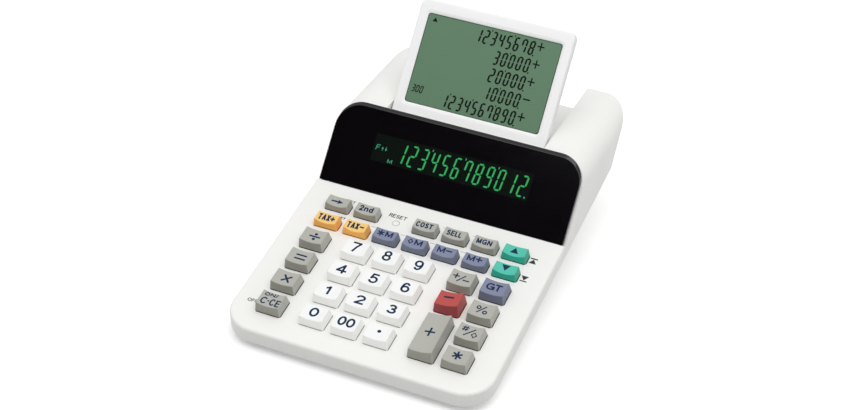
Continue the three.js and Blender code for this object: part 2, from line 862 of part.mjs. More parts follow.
const footSide = halfWidth - footSideMargin;
const footRearSide = doorHalf + footBesideDoor;
const footRearY = baseRearY - footRearMargin;
const footPlaces = [
  ['foot_front_left', -footSide, footFrontY], ['foot_front_right', footSide, footFrontY],
  ['foot_rear_left', -footRearSide, footRearY], ['foot_rear_right', footRearSide, footRearY],
];

// Case screws: one pair before the window, one pair in the arms beside the well
const screwPlaces = [
  [halfWidth - screwFrontSideMargin, deckToTable(windowFoot, 0)[0] - screwBeforeWindow],
  [wellHalf + caseWall + screwBesideWell, baseRearY - screwRearMargin],
];
const jackOuterY = baseRearAt(jackZ) - jackInset;

function makeBaseCase() {
  const outer = loft([baseRing(0, 0, baseLift), baseRing(0, 0)]);
  const inner = loft([
    baseRing(baseWall, 0, baseLift + baseWall), baseRing(baseWall, 0), baseRing(baseWall, overrun),
  ]);
  const bosses = screwPlaces.flatMap(([x, y]) => [-x, x].map((side) => (
    upright(screwBossRadius, baseLift, baseLift + screwBossHeight, side, y, smallRoundSides)
  )));
  const screwHoles = screwPlaces.flatMap(([x, y]) => [-x, x].map((side) => (
    upright(screwHeadRadius, -overrun, baseLift + screwBossHeight - screwWeb, side, y, smallRoundSides)
  )));
  const footSeats = footPlaces.map(([, x, y]) => (
    upright(footRadius + seatGap, -overrun, footHeight + seatGap, x, y)
  ));
  const jackHole = upright(jackHoleRadius, -overrun, jackLength, 0, 0).rotate([-90, 0, 0])
    .translate(jackX, jackOuterY, jackZ);
  const footPads = footPlaces.map(([, x, y]) => (
    upright(footRadius + baseWall, baseLift, baseLift + 2 * baseWall, x, y)
  ));
  const walls = outer.subtract(inner).add(joined([bayBlock(), ...bosses, ...footPads]).intersect(outer));
  const body = walls
    .subtract(bayHollow())
    .subtract(doorRecess())
    .subtract(joined([...screwHoles, ...footSeats]))
    .subtract(jackHole);
  place(tableGroup, 'base_case', body, finish(warmWhite, 0.55));
}

function makeDoor() {
  const outline = {
    half: doorHalf,
    front: doorFrontY,
    rear: baseRearY,
    frontRadius: windowFootRadius,
    rearRadius: windowFootRadius,
    steps: 2,
  };
  const plate = roundedBlock(outline, [[baseLift], [baseLift + doorThickness]]);
  place(tableGroup, 'battery_door', plate, finish(warmWhite, 0.55));
}

// Four round cells side by side, lying along the depth
function makeBatteries() {
  const profile = [
    [0, 0], [batteryRadius, 0], [batteryRadius, batteryLength - batteryNubLength],
    [batteryNubRadius, batteryLength - batteryNubLength], [batteryNubRadius, batteryLength], [0, batteryLength],
  ];
  for (let i = 0; i < batteryCount; i += 1) {
    const turn = i % 2 ? 1 : -1;
    const sleeve = finish(batteryBlue, 0.35, 0.4);
    const mesh = place(tableGroup, `battery_${i + 1}`, turned(profile, smallRoundSides), sleeve);
    mesh.rotation.x = turn * (Math.PI / 2);
    mesh.position.x = (i - (batteryCount - 1) / 2) * batteryPitch;
    mesh.position.y = turn > 0 ? bayRearY - seatGap : bayRearY - seatGap - batteryLength;
    mesh.position.z = batteryZ;
  }
}

// One spring strip across the bay's front, with a tab for each cell
function makeContacts() {
  const y = bayFrontY + seatGap + contactThickness / 2;
  const strip = box(2 * (bayHalf - seatGap), contactThickness, contactHeight, 0, y, batteryZ);
  const tabs = Array.from({ length: batteryCount }, (_, i) => {
    const x = (i - (batteryCount - 1) / 2) * batteryPitch;
    const z = batteryZ - contactHeight / 2 - contactTabHeight / 4;
    return box(contactTabWidth, contactThickness, contactTabHeight / 2, x, y, z);
  });
  place(tableGroup, 'battery_contacts', joined([strip, ...tabs]), finish(steel, 0.35, 1));
}

function makeJack() {
  const profile = [
    [0, 0], [jackRadius, 0], [jackRadius, jackLength], [jackBoreRadius, jackLength],
    [jackBoreRadius, jackLength - jackBoreDepth], [0, jackLength - jackBoreDepth],
  ];
  const jack = place(tableGroup, 'power_jack', turned(profile), finish(rubberGrey, 0.5));
  jack.rotation.x = -Math.PI / 2;
  jack.position.set(jackX, jackOuterY - jackLength, jackZ);
}

function makeFeet() {
  const profile = [
    [0, 0], [footRadius - footChamfer, 0], [footRadius, footChamfer], [footRadius, footHeight], [0, footHeight],
  ];
  for (const [name, x, y] of footPlaces) {
    const foot = place(tableGroup, name, turned(profile), finish(rubberGrey, 0.9));
    foot.position.set(x, y, 0);
  }
}

function makeWires() {
  const route = new THREE.CatmullRomCurve3(wireRoute.map((point) => new THREE.Vector3(...point)));
  const section = new THREE.Shape();
  section.absarc(0, 0, wireRadius, 0, 2 * Math.PI);
  const geometry = new THREE.ExtrudeGeometry(section, {
    steps: wireSteps,
    curveSegments: wireSides / 2,
    extrudePath: route,
    bevelEnabled: false,
  });
  place(deckGroup, 'screen_cable', solid(geometry), finish(rubberGrey, 0.6));
}

makeTopCase();
makeWindow();
makeDisplayModule();
makeKeys();
makeMembrane();
makeBoard();
makeResetButton();
makeScreen();
makeHingePins();
makeWires();
makeBaseCase();
makeDoor();
makeBatteries();
makeContacts();
makeJack();
makeFeet();

export default calculator;
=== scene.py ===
# %% [markdown]
# # Desktop calculator
# A sloped keyboard, a tall hood with a smoked display window and a second, flip-up screen that stands between
# two rear arms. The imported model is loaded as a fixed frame. It already has every piece at its real place and
# size, so this lesson gives the plain solids their finishes, and replaces the ones whose fine shape shows.

# %% Load the frame
import math

import bmesh
import bpy
from mathutils import Matrix, Vector


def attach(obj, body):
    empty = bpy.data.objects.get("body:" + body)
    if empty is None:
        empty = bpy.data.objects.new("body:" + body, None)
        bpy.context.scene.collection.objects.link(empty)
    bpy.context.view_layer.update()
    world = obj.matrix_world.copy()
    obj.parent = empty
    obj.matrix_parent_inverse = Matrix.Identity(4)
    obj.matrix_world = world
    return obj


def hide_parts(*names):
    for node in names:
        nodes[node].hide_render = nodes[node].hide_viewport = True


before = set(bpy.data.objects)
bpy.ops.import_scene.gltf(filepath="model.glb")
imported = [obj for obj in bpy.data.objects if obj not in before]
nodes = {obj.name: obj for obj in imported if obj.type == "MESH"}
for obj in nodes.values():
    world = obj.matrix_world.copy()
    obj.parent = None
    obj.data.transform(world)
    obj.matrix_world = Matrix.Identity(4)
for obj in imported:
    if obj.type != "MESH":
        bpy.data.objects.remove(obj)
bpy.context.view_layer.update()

# %% [markdown]
# The calculator is measured in millimetres in three sloping planes: the deck with the keys, the window's face and
# the screen's face. One matrix for each plane turns such millimetres into metres in the frame, so each piece can
# be drawn flat, the way it is printed or moulded, and then be put where it belongs.

# %% Planes
MM = 0.001
DECK_SLOPE = math.radians(10.5)
FRONT_HEIGHT = 14.0
ROW_SHIFT = -118.415
WINDOW_FOOT = 124.6
WINDOW_TILT = math.radians(42)
HINGE_Y = 171.0
HINGE_Z = 24.1
SCREEN_TILT = math.radians(43)

TABLE = Matrix.Scale(MM, 4) @ Matrix.Translation((0, ROW_SHIFT, 0))
DECK = TABLE @ Matrix.Translation((0, 0, FRONT_HEIGHT)) @ Matrix.Rotation(DECK_SLOPE, 4, "X")
WINDOW = DECK @ Matrix.Translation((0, WINDOW_FOOT, 0)) @ Matrix.Rotation(WINDOW_TILT, 4, "X")
SCREEN = DECK @ Matrix.Translation((0, HINGE_Y, HINGE_Z)) @ Matrix.Rotation(SCREEN_TILT, 4, "X")
print("hinge line at", [round(v, 4) for v in SCREEN.translation])

# %% [markdown]
# The camera stands where the photographer's stood. Its place, turn and lens were worked out from the corners of
# the keys, which lie in known rows and columns.

# %% Camera
CAMERA_PLACE = (0.29163, -0.78196, 0.59004)
CAMERA_TURN = (56.7016, -3.0371, 22.8013)
LENS, SENSOR, NEAREST = 73.215, 36, 0.05

lens = bpy.data.cameras.new("camera")
lens.sensor_width = SENSOR
lens.lens = LENS
lens.clip_start = NEAREST
camera = bpy.data.objects.new("camera", lens)
camera.location = CAMERA_PLACE
camera.rotation_euler = [math.radians(turn) for turn in CAMERA_TURN]
bpy.context.scene.collection.objects.link(camera)
bpy.context.scene.camera = camera
bpy.context.scene.view_settings.view_transform = "Standard"
print("camera:", lens.lens, "mm lens")

# %% [markdown]
# Materials are node trees. One function adds a node with its settings and links, and another turns a colour
# that is written as on a swatch card (sRGB) into the linear numbers that the renderer adds up. Most finishes then
# let noise that is fixed to the piece drive the main shader's colour, roughness and normal.


# %% Node and colour helpers
def linear(swatch):
    """sRGB hex, such as F1F1EE, as linear red, green, blue and alpha."""
    parts = [int(swatch[i:i + 2], 16) / 255 for i in (0, 2, 4)]
    return [v / 12.92 if v <= 0.04045 else ((v + 0.055) / 1.055) ** 2.4 for v in parts] + [1.0]


def toned(swatch, share, lift=0.0):
    """The swatch's colour, paler or darker by a share, in linear light."""
    return [min(1.0, part * share + lift) for part in linear(swatch)[:3]] + [1.0]


def add(tree, kind, settings=None, **inputs):
    """Adds a node. An input is a plain value, or a socket to link; underscores in its name stand for spaces."""
    made = tree.nodes.new(kind)
    for key, value in (settings or {}).items():
        setattr(made, key, value)
    for key, value in inputs.items():
        name = key.replace("_", " ")
        socket = made.inputs[int(name)] if name.isdigit() else made.inputs[name]
        if isinstance(value, bpy.types.NodeSocket):
            tree.links.new(value, socket)
        else:
            socket.default_value = value
    return made


def new_material(name, swatch, roughness, ior=1.5, metallic=0.0, **more):
    """A material with its main shader; what is the same all over is set on the shader's own sockets."""
    material = bpy.data.materials.new(name)
    material.use_nodes = True
    material.diffuse_color = linear(swatch)
    tree = material.node_tree
    tree.nodes.clear()
    shader = add(tree, "ShaderNodeBsdfPrincipled", Base_Color=linear(swatch), Roughness=roughness, IOR=ior,
                 Metallic=metallic, **more)
    add(tree, "ShaderNodeOutputMaterial", Surface=shader.outputs[0])
    return material, tree, shader


def drive(tree, shader, **sockets):
    """Links each socket to the shader's input of that name; underscores stand for spaces."""
    for key, socket in sockets.items():
        tree.links.new(socket, shader.inputs[key.replace("_", " ")])


# %% [markdown]
# The housing is ABS, injection moulded in a steel mould whose faces were spark eroded. The eye sees that as a
# soft, slightly uneven sheen. The real grit is about 0.1 mm, too fine to show, so it is drawn at 0.5 mm. Large
# mouldings also cool unevenly, which leaves very faint patches of gloss some 30 mm across.


# %% Moulded ABS
GRIT = 0.5
SHEEN_SPREAD = 0.05


def moulded_abs(name, swatch, roughness=0.46, depth=0.012, patch=30.0, shade=0.03, gloss=0.5):
    material, tree, shader = new_material(name, swatch, roughness, ior=1.53, Specular_IOR_Level=gloss)
    place = add(tree, "ShaderNodeTexCoord").outputs["Object"]
    patches = add(tree, "ShaderNodeTexNoise", Vector=place, Scale=1 / (patch * MM), Detail=2.0).outputs["Fac"]
    grain = add(tree, "ShaderNodeTexNoise", Vector=place, Scale=1 / (GRIT * MM), Detail=3.0, Roughness=0.6)
    sheen = add(tree, "ShaderNodeMapRange", Value=patches, From_Min=0.3, From_Max=0.7,
                To_Min=roughness - SHEEN_SPREAD, To_Max=roughness + SHEEN_SPREAD)
    colour = add(tree, "ShaderNodeMix", {"data_type": "RGBA"}, Factor=patches,
                 **{"6": linear(swatch), "7": toned(swatch, 1 - shade)})
    bump = add(tree, "ShaderNodeBump", Height=grain.outputs["Fac"], Strength=0.6, Distance=depth * MM)
    drive(tree, shader, Roughness=sheen.outputs[0], Base_Color=colour.outputs[2], Normal=bump.outputs[0])
    return material


CASE_ABS = moulded_abs("case_abs_warm_white", "EEEEEB")
SCREEN_ABS = moulded_abs("screen_abs_cool_white", "F2F2F2", roughness=0.42)
BASE_ABS = moulded_abs("base_abs_white", "ECECE9", roughness=0.52, depth=0.02)
print("case finishes made")

# %% [markdown]
# The keycaps are the same plastic in six colours, each with four tones: top, front wall, side and rear walls, and
# foot. Only the top is the plastic's own colour; the walls and foot carry painted light and shade. The photograph
# has more contrast between top and front than plain light gives, so the fronts are painted a little deeper as
# painted shade, and the white keys' walls a little paler as painted light. The foot is the lowest 0.3 mm of the
# walls, which stands in the shade of the gap round the key, so it is painted dark as painted shade. The gap is
# narrower than a pixel here, and the dark foot reads as its line.

# %% Key colours, with painted light and shade on the walls
KEY_SWATCHES_WITH_PAINTED_LIGHTING = {
    "white": ("F1F2F1", "FCFCFA", "FEFEFD", "C0C0BC"), "grey": ("AFAFA7", "9D9C93", "AFAFA8", "3E3E39"),
    "orange": ("F0C878", "F8B65C", "F8B462", "8A5A1C"), "violet": ("7F859D", "71778A", "777C90", "1E2029"),
    "teal": ("52C0AA", "2BB098", "44A48E", "0B3D33"), "red": ("B64E4A", "A6484B", "B34B4A", "431214"),
}
KEY_ABS = {}
# The front and side swatches are painted light and shade, and the last one is the painted shade of the gap.
for colour, (*top_and_painted_wall_swatches, painted_gap_shade_swatch) in KEY_SWATCHES_WITH_PAINTED_LIGHTING.items():
    KEY_ABS[colour] = [moulded_abs("key_" + place + "_" + colour, swatch, roughness=0.42, patch=9, gloss=0.2)
                       for place, swatch in zip(("top", "front", "side"), top_and_painted_wall_swatches)]
    KEY_ABS[colour].append(moulded_abs("key_painted_gap_shade_" + colour, painted_gap_shade_swatch, roughness=0.55, patch=9, gloss=0.1))
print("key finishes:", 4 * len(KEY_ABS))

# %% [markdown]
# The key legends and the words on the deck are pad printed: a thin, slightly glossy film of ink that is a little
# thinner in places. The legends are navy, the words on the deck a dark grey.


# %% Printed ink
INK_BLOTCH = 0.8


def printed_ink(name, swatch):
    material, tree, shader = new_material(name, swatch, 0.45, ior=1.5, Specular_IOR_Level=0.15)
    place = add(tree, "ShaderNodeTexCoord").outputs["Object"]
    film = add(tree, "ShaderNodeTexNoise", Vector=place, Scale=1 / (INK_BLOTCH * MM), Detail=2.0).outputs["Fac"]
    colour = add(tree, "ShaderNodeMix", {"data_type": "RGBA"}, Factor=film,
                 **{"6": linear(swatch), "7": toned(swatch, 1.35, 0.004)})
    drive(tree, shader, Base_Color=colour.outputs[2])
    return material


NAVY_INK = printed_ink("legend_ink_navy", "082346")
DECK_INK = printed_ink("deck_ink_dark_grey", "2E2F34")
LINE_INK = printed_ink("deck_ink_pale_grey", "7D7E82")
print("inks:", NAVY_INK.name, DECK_INK.name, LINE_INK.name)

# %% [markdown]
# The display window is a smoked acrylic plate, polished, with a black mask printed on its back. Acrylic has an
# IOR of 1.49. A very weak, wide unevenness keeps its reflections from looking like a computer's mirror.


# %% Smoked acrylic, display filter, glowing digits
RIPPLE_DEPTH = 0.02


def polished_plastic(name, swatch, roughness, ior, wave=12.0, **more):
    material, tree, shader = new_material(name, swatch, roughness, ior=ior, **more)
    place = add(tree, "ShaderNodeTexCoord").outputs["Object"]
    ripple = add(tree, "ShaderNodeTexNoise", Vector=place, Scale=1 / (wave * MM), Detail=1.0).outputs["Fac"]
    gloss = add(tree, "ShaderNodeMapRange", Value=ripple, To_Min=roughness * 0.8, To_Max=roughness * 1.2)
    bump = add(tree, "ShaderNodeBump", Height=ripple, Strength=0.15, Distance=RIPPLE_DEPTH * MM)
    drive(tree, shader, Roughness=gloss.outputs[0], Normal=bump.outputs[0])
    return material


WINDOW_ACRYLIC = polished_plastic("window_acrylic_smoked", "070508", 0.12, 1.49)
FILTER_FILM = polished_plastic("display_filter_green_black", "0D1410", 0.12, 1.49)
GLOWING_GREEN = polished_plastic("display_phosphor_green", "1A7A3E", 0.3, 1.5, Emission_Color=linear("2CC468"),
                                 Emission_Strength=0.36)
DIM_GREEN = polished_plastic("display_phosphor_dim_green", "2C7A58", 0.3, 1.5, Emission_Color=linear("46A880"),
                             Emission_Strength=0.3)
print("window finishes made")

# %% [markdown]
# The flip-up screen is a reflective liquid crystal panel: a grey-green polariser film over glass, with a fine
# anti-glare texture. Its segments are the film's own dark state, so they are nearly black and just as matt.

# %% Liquid crystal panel
LCD_FILM = polished_plastic("lcd_polariser_grey_green", "5C7C62", 0.42, 1.5, wave=25.0, Specular_IOR_Level=0.3)
LCD_DARK = polished_plastic("lcd_segment_dark", "030C06", 0.5, 1.5, Specular_IOR_Level=0.1)
# A dark green for painted shadow: a line of shade along the left and upper edges of the glass.
LCD_PAINTED_SHADOW = polished_plastic("lcd_painted_shadow_dark_green", "2C4534", 0.5, 1.5, Specular_IOR_Level=0.2)
print("liquid crystal finishes made")

# %% [markdown]
# The pieces that only show from below or with a cover off: moulded rubber, nickel-plated steel, the printed
# board's laminate and the sleeves of the cells. Metal keeps the default IOR, and its brushing or plating is a
# change of roughness stretched along one direction.


# %% Rubber, steel, laminate and sleeves
DUST_SPECK, DUST_DEPTH = 1.5, 0.03
BRUSH_LENGTH, BRUSH_WIDTH = 6, 0.3


def moulded_rubber(name, swatch):
    material, tree, shader = new_material(name, swatch, 0.85, ior=1.52)
    place = add(tree, "ShaderNodeTexCoord").outputs["Object"]
    dust = add(tree, "ShaderNodeTexNoise", Vector=place, Scale=1 / (DUST_SPECK * MM), Detail=4.0).outputs["Fac"]
    colour = add(tree, "ShaderNodeMix", {"data_type": "RGBA"}, Factor=dust,
                 **{"6": linear(swatch), "7": toned(swatch, 1.6, 0.01)})
    bump = add(tree, "ShaderNodeBump", Height=dust, Strength=0.4, Distance=DUST_DEPTH * MM)
    drive(tree, shader, Base_Color=colour.outputs[2], Normal=bump.outputs[0])
    return material


def plated_steel(name, swatch, roughness):
    material, tree, shader = new_material(name, swatch, roughness, metallic=1.0)
    place = add(tree, "ShaderNodeTexCoord").outputs["Object"]
    scale = [1 / (size * MM) for size in (BRUSH_LENGTH, BRUSH_WIDTH, BRUSH_WIDTH)]
    along = add(tree, "ShaderNodeMapping", Vector=place, Scale=scale)
    lines = add(tree, "ShaderNodeTexNoise", Vector=along.outputs[0], Scale=1.0, Detail=2.0).outputs["Fac"]
    gloss = add(tree, "ShaderNodeMapRange", Value=lines, To_Min=roughness * 0.6, To_Max=roughness * 1.4)
    drive(tree, shader, Roughness=gloss.outputs[0])
    return material


RUBBER = moulded_rubber("rubber_dark_grey", "3A3A3C")
STEEL = plated_steel("steel_nickel_plated", "B9BBBE", 0.3)
BLACK_PLASTIC = moulded_abs("nylon_black", "1D1D20", roughness=0.5, shade=0.2)
BOARD_GREEN = polished_plastic("board_laminate_green", "1F5A38", 0.35, 1.55, wave=4.0)
SLEEVE = polished_plastic("battery_sleeve_blue", "23508A", 0.25, 1.5, wave=8.0)
print("hidden finishes made")

# %% [markdown]
# Light: a bright studio lit from above. A big soft box hangs right overhead, so that faces turned up are
# brightest and the keys' fronts fall into half shade, as on the photograph. The world is a weak fill that
# fades towards the horizon. The camera, mirrors and glass see it white.

# %% World
WHITE = (1, 1, 1, 1)
FILL = 0.665
HORIZON_SHARE, FADED_AT = 0.95, 0.8

world = bpy.data.worlds.new("studio")
bpy.context.scene.world = world
world.use_nodes = True
sky = world.node_tree
sky.nodes.clear()
compass = add(sky, "ShaderNodeSeparateXYZ", Vector=add(sky, "ShaderNodeTexCoord").outputs["Generated"])
fade = add(sky, "ShaderNodeMapRange", Value=compass.outputs["Z"], From_Min=0.0, From_Max=FADED_AT,
           To_Min=FILL * HORIZON_SHARE, To_Max=FILL)
fill = add(sky, "ShaderNodeBackground", Color=WHITE, Strength=fade.outputs[0])
white = add(sky, "ShaderNodeBackground", Color=WHITE, Strength=1.0)


def seen_directly(tree):
    """1 for what the camera sees itself, in a mirror or through glass, and 0 for soft light."""
    ways = add(tree, "ShaderNodeLightPath").outputs
    seen = ways["Is Camera Ray"]
    for way in ("Is Glossy Ray", "Is Transmission Ray"):
        seen = add(tree, "ShaderNodeMath", {"operation": "MAXIMUM"}, **{"0": seen, "1": ways[way]}).outputs[0]
    return seen


either = add(sky, "ShaderNodeMixShader", Fac=seen_directly(sky))
sky.links.new(fill.outputs[0], either.inputs[1])
sky.links.new(white.outputs[0], either.inputs[2])
add(sky, "ShaderNodeOutputWorld", Surface=either.outputs[0])
print("world fill", FILL)

# %% Overhead soft box
BOX_SIZE, BOX_POWER = (1.5, 1.1), 9.5
BOX_PLACE, BOX_TARGET = (0.14, -0.28, 1.3), (0, 0, 0.03)


def soft_box(name, size, power, place, target):
    lamp = bpy.data.lights.new(name, "AREA")
    lamp.shape = "RECTANGLE"
    lamp.size, lamp.size_y = size
    lamp.energy = power
    holder = bpy.data.objects.new(name, lamp)
    holder.location = place
    holder.rotation_euler = (Vector(target) - Vector(place)).to_track_quat("-Z", "Y").to_euler()
    bpy.context.scene.collection.objects.link(holder)


soft_box("overhead_box", BOX_SIZE, BOX_POWER, BOX_PLACE, BOX_TARGET)
print("overhead box:", BOX_POWER, "W")

# %% [markdown]
# The floor is a white sheet that catches the calculator's shadow. Black glossy things show whatever stands opposite
# them, so a photographer hangs a black card there. This one hangs behind the camera, where the display window and
# the flip-up screen would mirror the white room.

# %% Floor
FLOOR_SWATCH, FLOOR_GLOW, FLOOR_HALF = "BEBEBE", 0.2, 4.0


def stage_sheet(name, centre, right, up, material):
    mesh = bpy.data.meshes.new(name)
    corners = [tuple(centre + right * a + up * b) for a, b in ((-1, -1), (1, -1), (1, 1), (-1, 1))]
    mesh.from_pydata(corners, [], [(0, 1, 2, 3)])
    mesh.materials.append(material)
    sheet = bpy.data.objects.new(name, mesh)
    bpy.context.scene.collection.objects.link(sheet)
    return sheet


floor_material, floor_tree, floor_shader = new_material("floor_white_sheet", FLOOR_SWATCH, 0.9,
                                                        Emission_Color=WHITE)
floor_seen = seen_directly(floor_tree)
floor_colour = add(floor_tree, "ShaderNodeMix", {"data_type": "RGBA"}, Factor=floor_seen,
                   **{"6": linear(FLOOR_SWATCH), "7": WHITE})
floor_glow = add(floor_tree, "ShaderNodeMath", {"operation": "MULTIPLY"}, **{"0": floor_seen, "1": FLOOR_GLOW})
drive(floor_tree, floor_shader, Base_Color=floor_colour.outputs[2], Emission_Strength=floor_glow.outputs[0])
stage_sheet("floor", Vector(), Vector((FLOOR_HALF, 0, 0)), Vector((0, FLOOR_HALF, 0)), floor_material)
print("floor:", 2 * FLOOR_HALF, "m wide")

# %% Black card
CARD_AWAY, CARD_DIRECTION, CARD_ACROSS = 1.7, (-0.29, -0.73, 0.62), (0.93, -0.37, 0)
CARD_HALF_WIDTH, CARD_HALF_HEIGHT = 0.5, 0.4
card_centre = CARD_AWAY * Vector(CARD_DIRECTION).normalized()
card_right = Vector(CARD_ACROSS).normalized() * CARD_HALF_WIDTH
card_up = card_centre.cross(card_right).normalized() * CARD_HALF_HEIGHT
card_felt = new_material("card_black_felt", "0A0A0A", 1.0)[0]
black_card = stage_sheet("black_card", card_centre, card_right, card_up, card_felt)
black_card.visible_diffuse = False
black_card.visible_shadow = False
print("black card:", CARD_AWAY, "m away")

# %% [markdown]
# Many pieces keep the frame's own solid, because its shape is right: it only has hard edges, and no moulded
# piece has those. Modifiers can soften them without touching the solid: planar faces are merged, a small round
# is put on every sharp edge, and the normals are weighted by face so that the flats stay flat.


# %% Rounding modifiers
def rounding(width, segments=2, sharp=25.0, weight=90):
    """Rounds the edges that are sharper than an angle, or those that carry a weight where sharp is 0."""
    bevel = {"width": width * MM, "segments": segments, "use_clamp_overlap": True,
             "limit_method": "ANGLE" if sharp else "WEIGHT", "angle_limit": math.radians(sharp)}
    return [("BEVEL", bevel), ("WEIGHTED_NORMAL", {"keep_sharp": True, "weight": weight})]


def modify(piece, modifiers):
    for kind, settings in modifiers:
        modifier = piece.modifiers.new(kind.lower(), kind)
        for key, value in settings.items():
            setattr(modifier, key, value)


# %% Softened solids
FLAT_ANGLE = 1.0


def soften(node, material, width, sharp=28.0):
    piece = nodes[node]
    piece.data.materials.clear()
    piece.data.materials.append(material)
    modify(piece, [("DECIMATE", {"decimate_type": "DISSOLVE", "angle_limit": math.radians(FLAT_ANGLE)})])
    if width:
        modify(piece, rounding(width, 3, sharp))
    piece.data.polygons.foreach_set("use_smooth", [bool(width)] * len(piece.data.polygons))


SOFTENED = [
    ("top_case", CASE_ABS, 0.2, 26.0), ("base_case", BASE_ABS, 0.3), ("battery_door", BASE_ABS, 0.3),
    ("screen_back_cover", SCREEN_ABS, 0.5), ("screen_glass", LCD_FILM, 0), ("display_module", BLACK_PLASTIC, 0.3),
    ("main_board", BOARD_GREEN, 0), ("key_membrane", RUBBER, 0), ("reset_button", CASE_ABS, 0.1),
    ("power_jack", BLACK_PLASTIC, 0.2), ("screen_cable", BLACK_PLASTIC, 0), ("battery_contacts", STEEL, 0),
]
for side in ("left", "right"):
    SOFTENED.append(("hinge_pin_" + side, STEEL, 0.2))
    SOFTENED += [("foot_" + end + "_" + side, RUBBER, 0.3) for end in ("front", "rear")]
SOFTENED += [("battery_" + str(cell), SLEEVE, 0.3) for cell in range(1, 5)]
for softened in SOFTENED:
    soften(*softened)
print("softened", sum(1 for piece in nodes.values() if piece.modifiers), "solids")

# %% [markdown]
# A new piece is drawn in the millimetres of its own plane. One function puts the mesh in the frame, gives it its
# finish and lets it ride on its body.


# %% New pieces
def finish_piece(name, bm, plane, material, body, replaced=None, modifiers=(), smooth=True):
    mesh = bpy.data.meshes.new(name)
    bmesh.ops.recalc_face_normals(bm, faces=bm.faces)
    bm.to_mesh(mesh)
    bm.free()
    mesh.transform(plane)
    for finish in material if isinstance(material, list) else [material]:
        mesh.materials.append(finish)
    mesh.polygons.foreach_set("use_smooth", [smooth] * len(mesh.polygons))
    piece = bpy.data.objects.new(name, mesh)
    bpy.context.scene.collection.objects.link(piece)
    modify(piece, modifiers)
    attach(piece, body)
    if replaced:
        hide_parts(replaced)


def lifted(plane, height, x=0.0, y=0.0):
    return plane @ Matrix.Translation((x, y, height))


# %% [markdown]
# The flip-up screen's frame is one moulding. Going from the glass outwards, its face has a bright bevel, a sunk
# margin, a fine step and then the broad flat, which rolls over into the sides. That is a section, so the frame is
# drawn as rounded outlines, each with its height, that follow the section once round.

# %% Outlines and stacks
LEAST_ROUND = 0.1


def outline(shape, inset, height, steps=5):
    """A rectangle with rounded corners, drawn in by inset, as points from the front right corner on."""
    half, front, rear = shape["half"] - inset, shape["front"] + inset, shape["rear"] - inset
    foot, top = max(shape["foot"] - inset, LEAST_ROUND), max(shape["top"] - inset, LEAST_ROUND)
    corners = ((half - foot, front + foot, foot, -90), (half - top, rear - top, top, 0),
               (-half + top, rear - top, top, 90), (-half + foot, front + foot, foot, 180))
    return [(x + r * math.cos(math.radians(start + 90 * k / steps)),
             y + r * math.sin(math.radians(start + 90 * k / steps)), height)
            for x, y, r, start in corners for k in range(steps + 1)]


def stacked(bm, rings, hollow=False):
    """A solid from rings of equally many points. Its ends are closed, or else the last ring joins the first."""
    rows = [[bm.verts.new(point) for point in ring] for ring in rings]
    for row, after in zip(rows, rows[1:] + (rows[:1] if hollow else [])):
        for i in range(len(row)):
            j = (i + 1) % len(row)
            bm.faces.new([row[i], row[j], after[j], after[i]])
    if not hollow:
        bm.faces.new(rows[0])
        bm.faces.new(rows[-1])


# %% Screen frame
FRAME = {"half": 48.3, "front": -3.0, "rear": 70.2, "foot": 2.0, "top": 4.2}
OPENING = {"half": 42.1, "front": 7.7, "rear": 62.2, "foot": 1.6, "top": 1.6}
FACE, SPLIT = 4.0, 0.4
FRAME_SECTION = (
    (OPENING, 0, SPLIT), (OPENING, 0, FACE - 0.75), (OPENING, -1.0, FACE - 0.22), (OPENING, -1.7, FACE - 0.22),
    (OPENING, -1.8, FACE), (FRAME, 1.3, FACE), (FRAME, 0.65, FACE - 0.17), (FRAME, 0.17, FACE - 0.65),
    (FRAME, 0, FACE - 1.3), (FRAME, 0, SPLIT),
)

frame_mesh = bmesh.new()
stacked(frame_mesh, [outline(shape, inset, height) for shape, inset, height in FRAME_SECTION], hollow=True)
finish_piece("screen_front_frame", frame_mesh, SCREEN, SCREEN_ABS, "screen", "screen_frame",
             rounding(0.12))
print("screen frame:", len(FRAME_SECTION), "outlines")

# %% [markdown]
# The smoked window plate lies on the hood's face. Only its upper edge is ground off to a slant, which shows as a
# grey band along the top that runs out in the rounded corners.

# %% Window plate
PLATE = {"half": 76.2, "front": 0.0, "rear": 50.8, "foot": 1.0, "top": 15.0}
PLATE_BACK, SLANT_DEPTH, SLANT = -3.0, -1.2, 2.2
PLATE_STEPS = 10
plate = bmesh.new()
stacked(plate, [outline(PLATE, 0, PLATE_BACK, PLATE_STEPS), outline(PLATE, 0, SLANT_DEPTH, PLATE_STEPS),
                outline({**PLATE, "rear": PLATE["rear"] - SLANT}, 0, 0, PLATE_STEPS)])
finish_piece("display_window_plate", plate, WINDOW, WINDOW_ACRYLIC, "housing", "display_window",
             rounding(0.15))
print("window plate:", 2 * PLATE["half"], "mm wide")

# %% [markdown]
# A keycap is a hollow ABS moulding: upright front, leaning back and sides, and a finger dish that is hollow from
# side to side. On the low keys the dish is deeper in front, and the tops of the plus and minus keys rise towards
# the right. A cap is drawn as a grid for the dish and a skirt of walls that follows the grid's rim down to the
# flange which keeps the key in the case. A bevel then rounds the rim and the upright corners.

# %% Key sizes
BIG_KEY = {"width": 15.0, "depth": 13.0, "height": 6.8, "side": 0.75, "front": 0.2, "rear": 2.1,
           "dish": (1.1, 1.1), "rise": (0.0, 0.0)}
MINUS_KEY = {**BIG_KEY, "rise": (2.3, 2.5)}
PLUS_KEY = {**BIG_KEY, "depth": 31.0, "rise": (1.7, 2.5)}
SMALL_KEY = {"width": 15.0, "depth": 7.9, "height": 5.5, "side": 0.9, "front": 0.2, "rear": 0.5,
             "dish": (1.8, 0.6), "rise": (0.0, 0.0)}
print("keys are", BIG_KEY["width"], "mm wide")

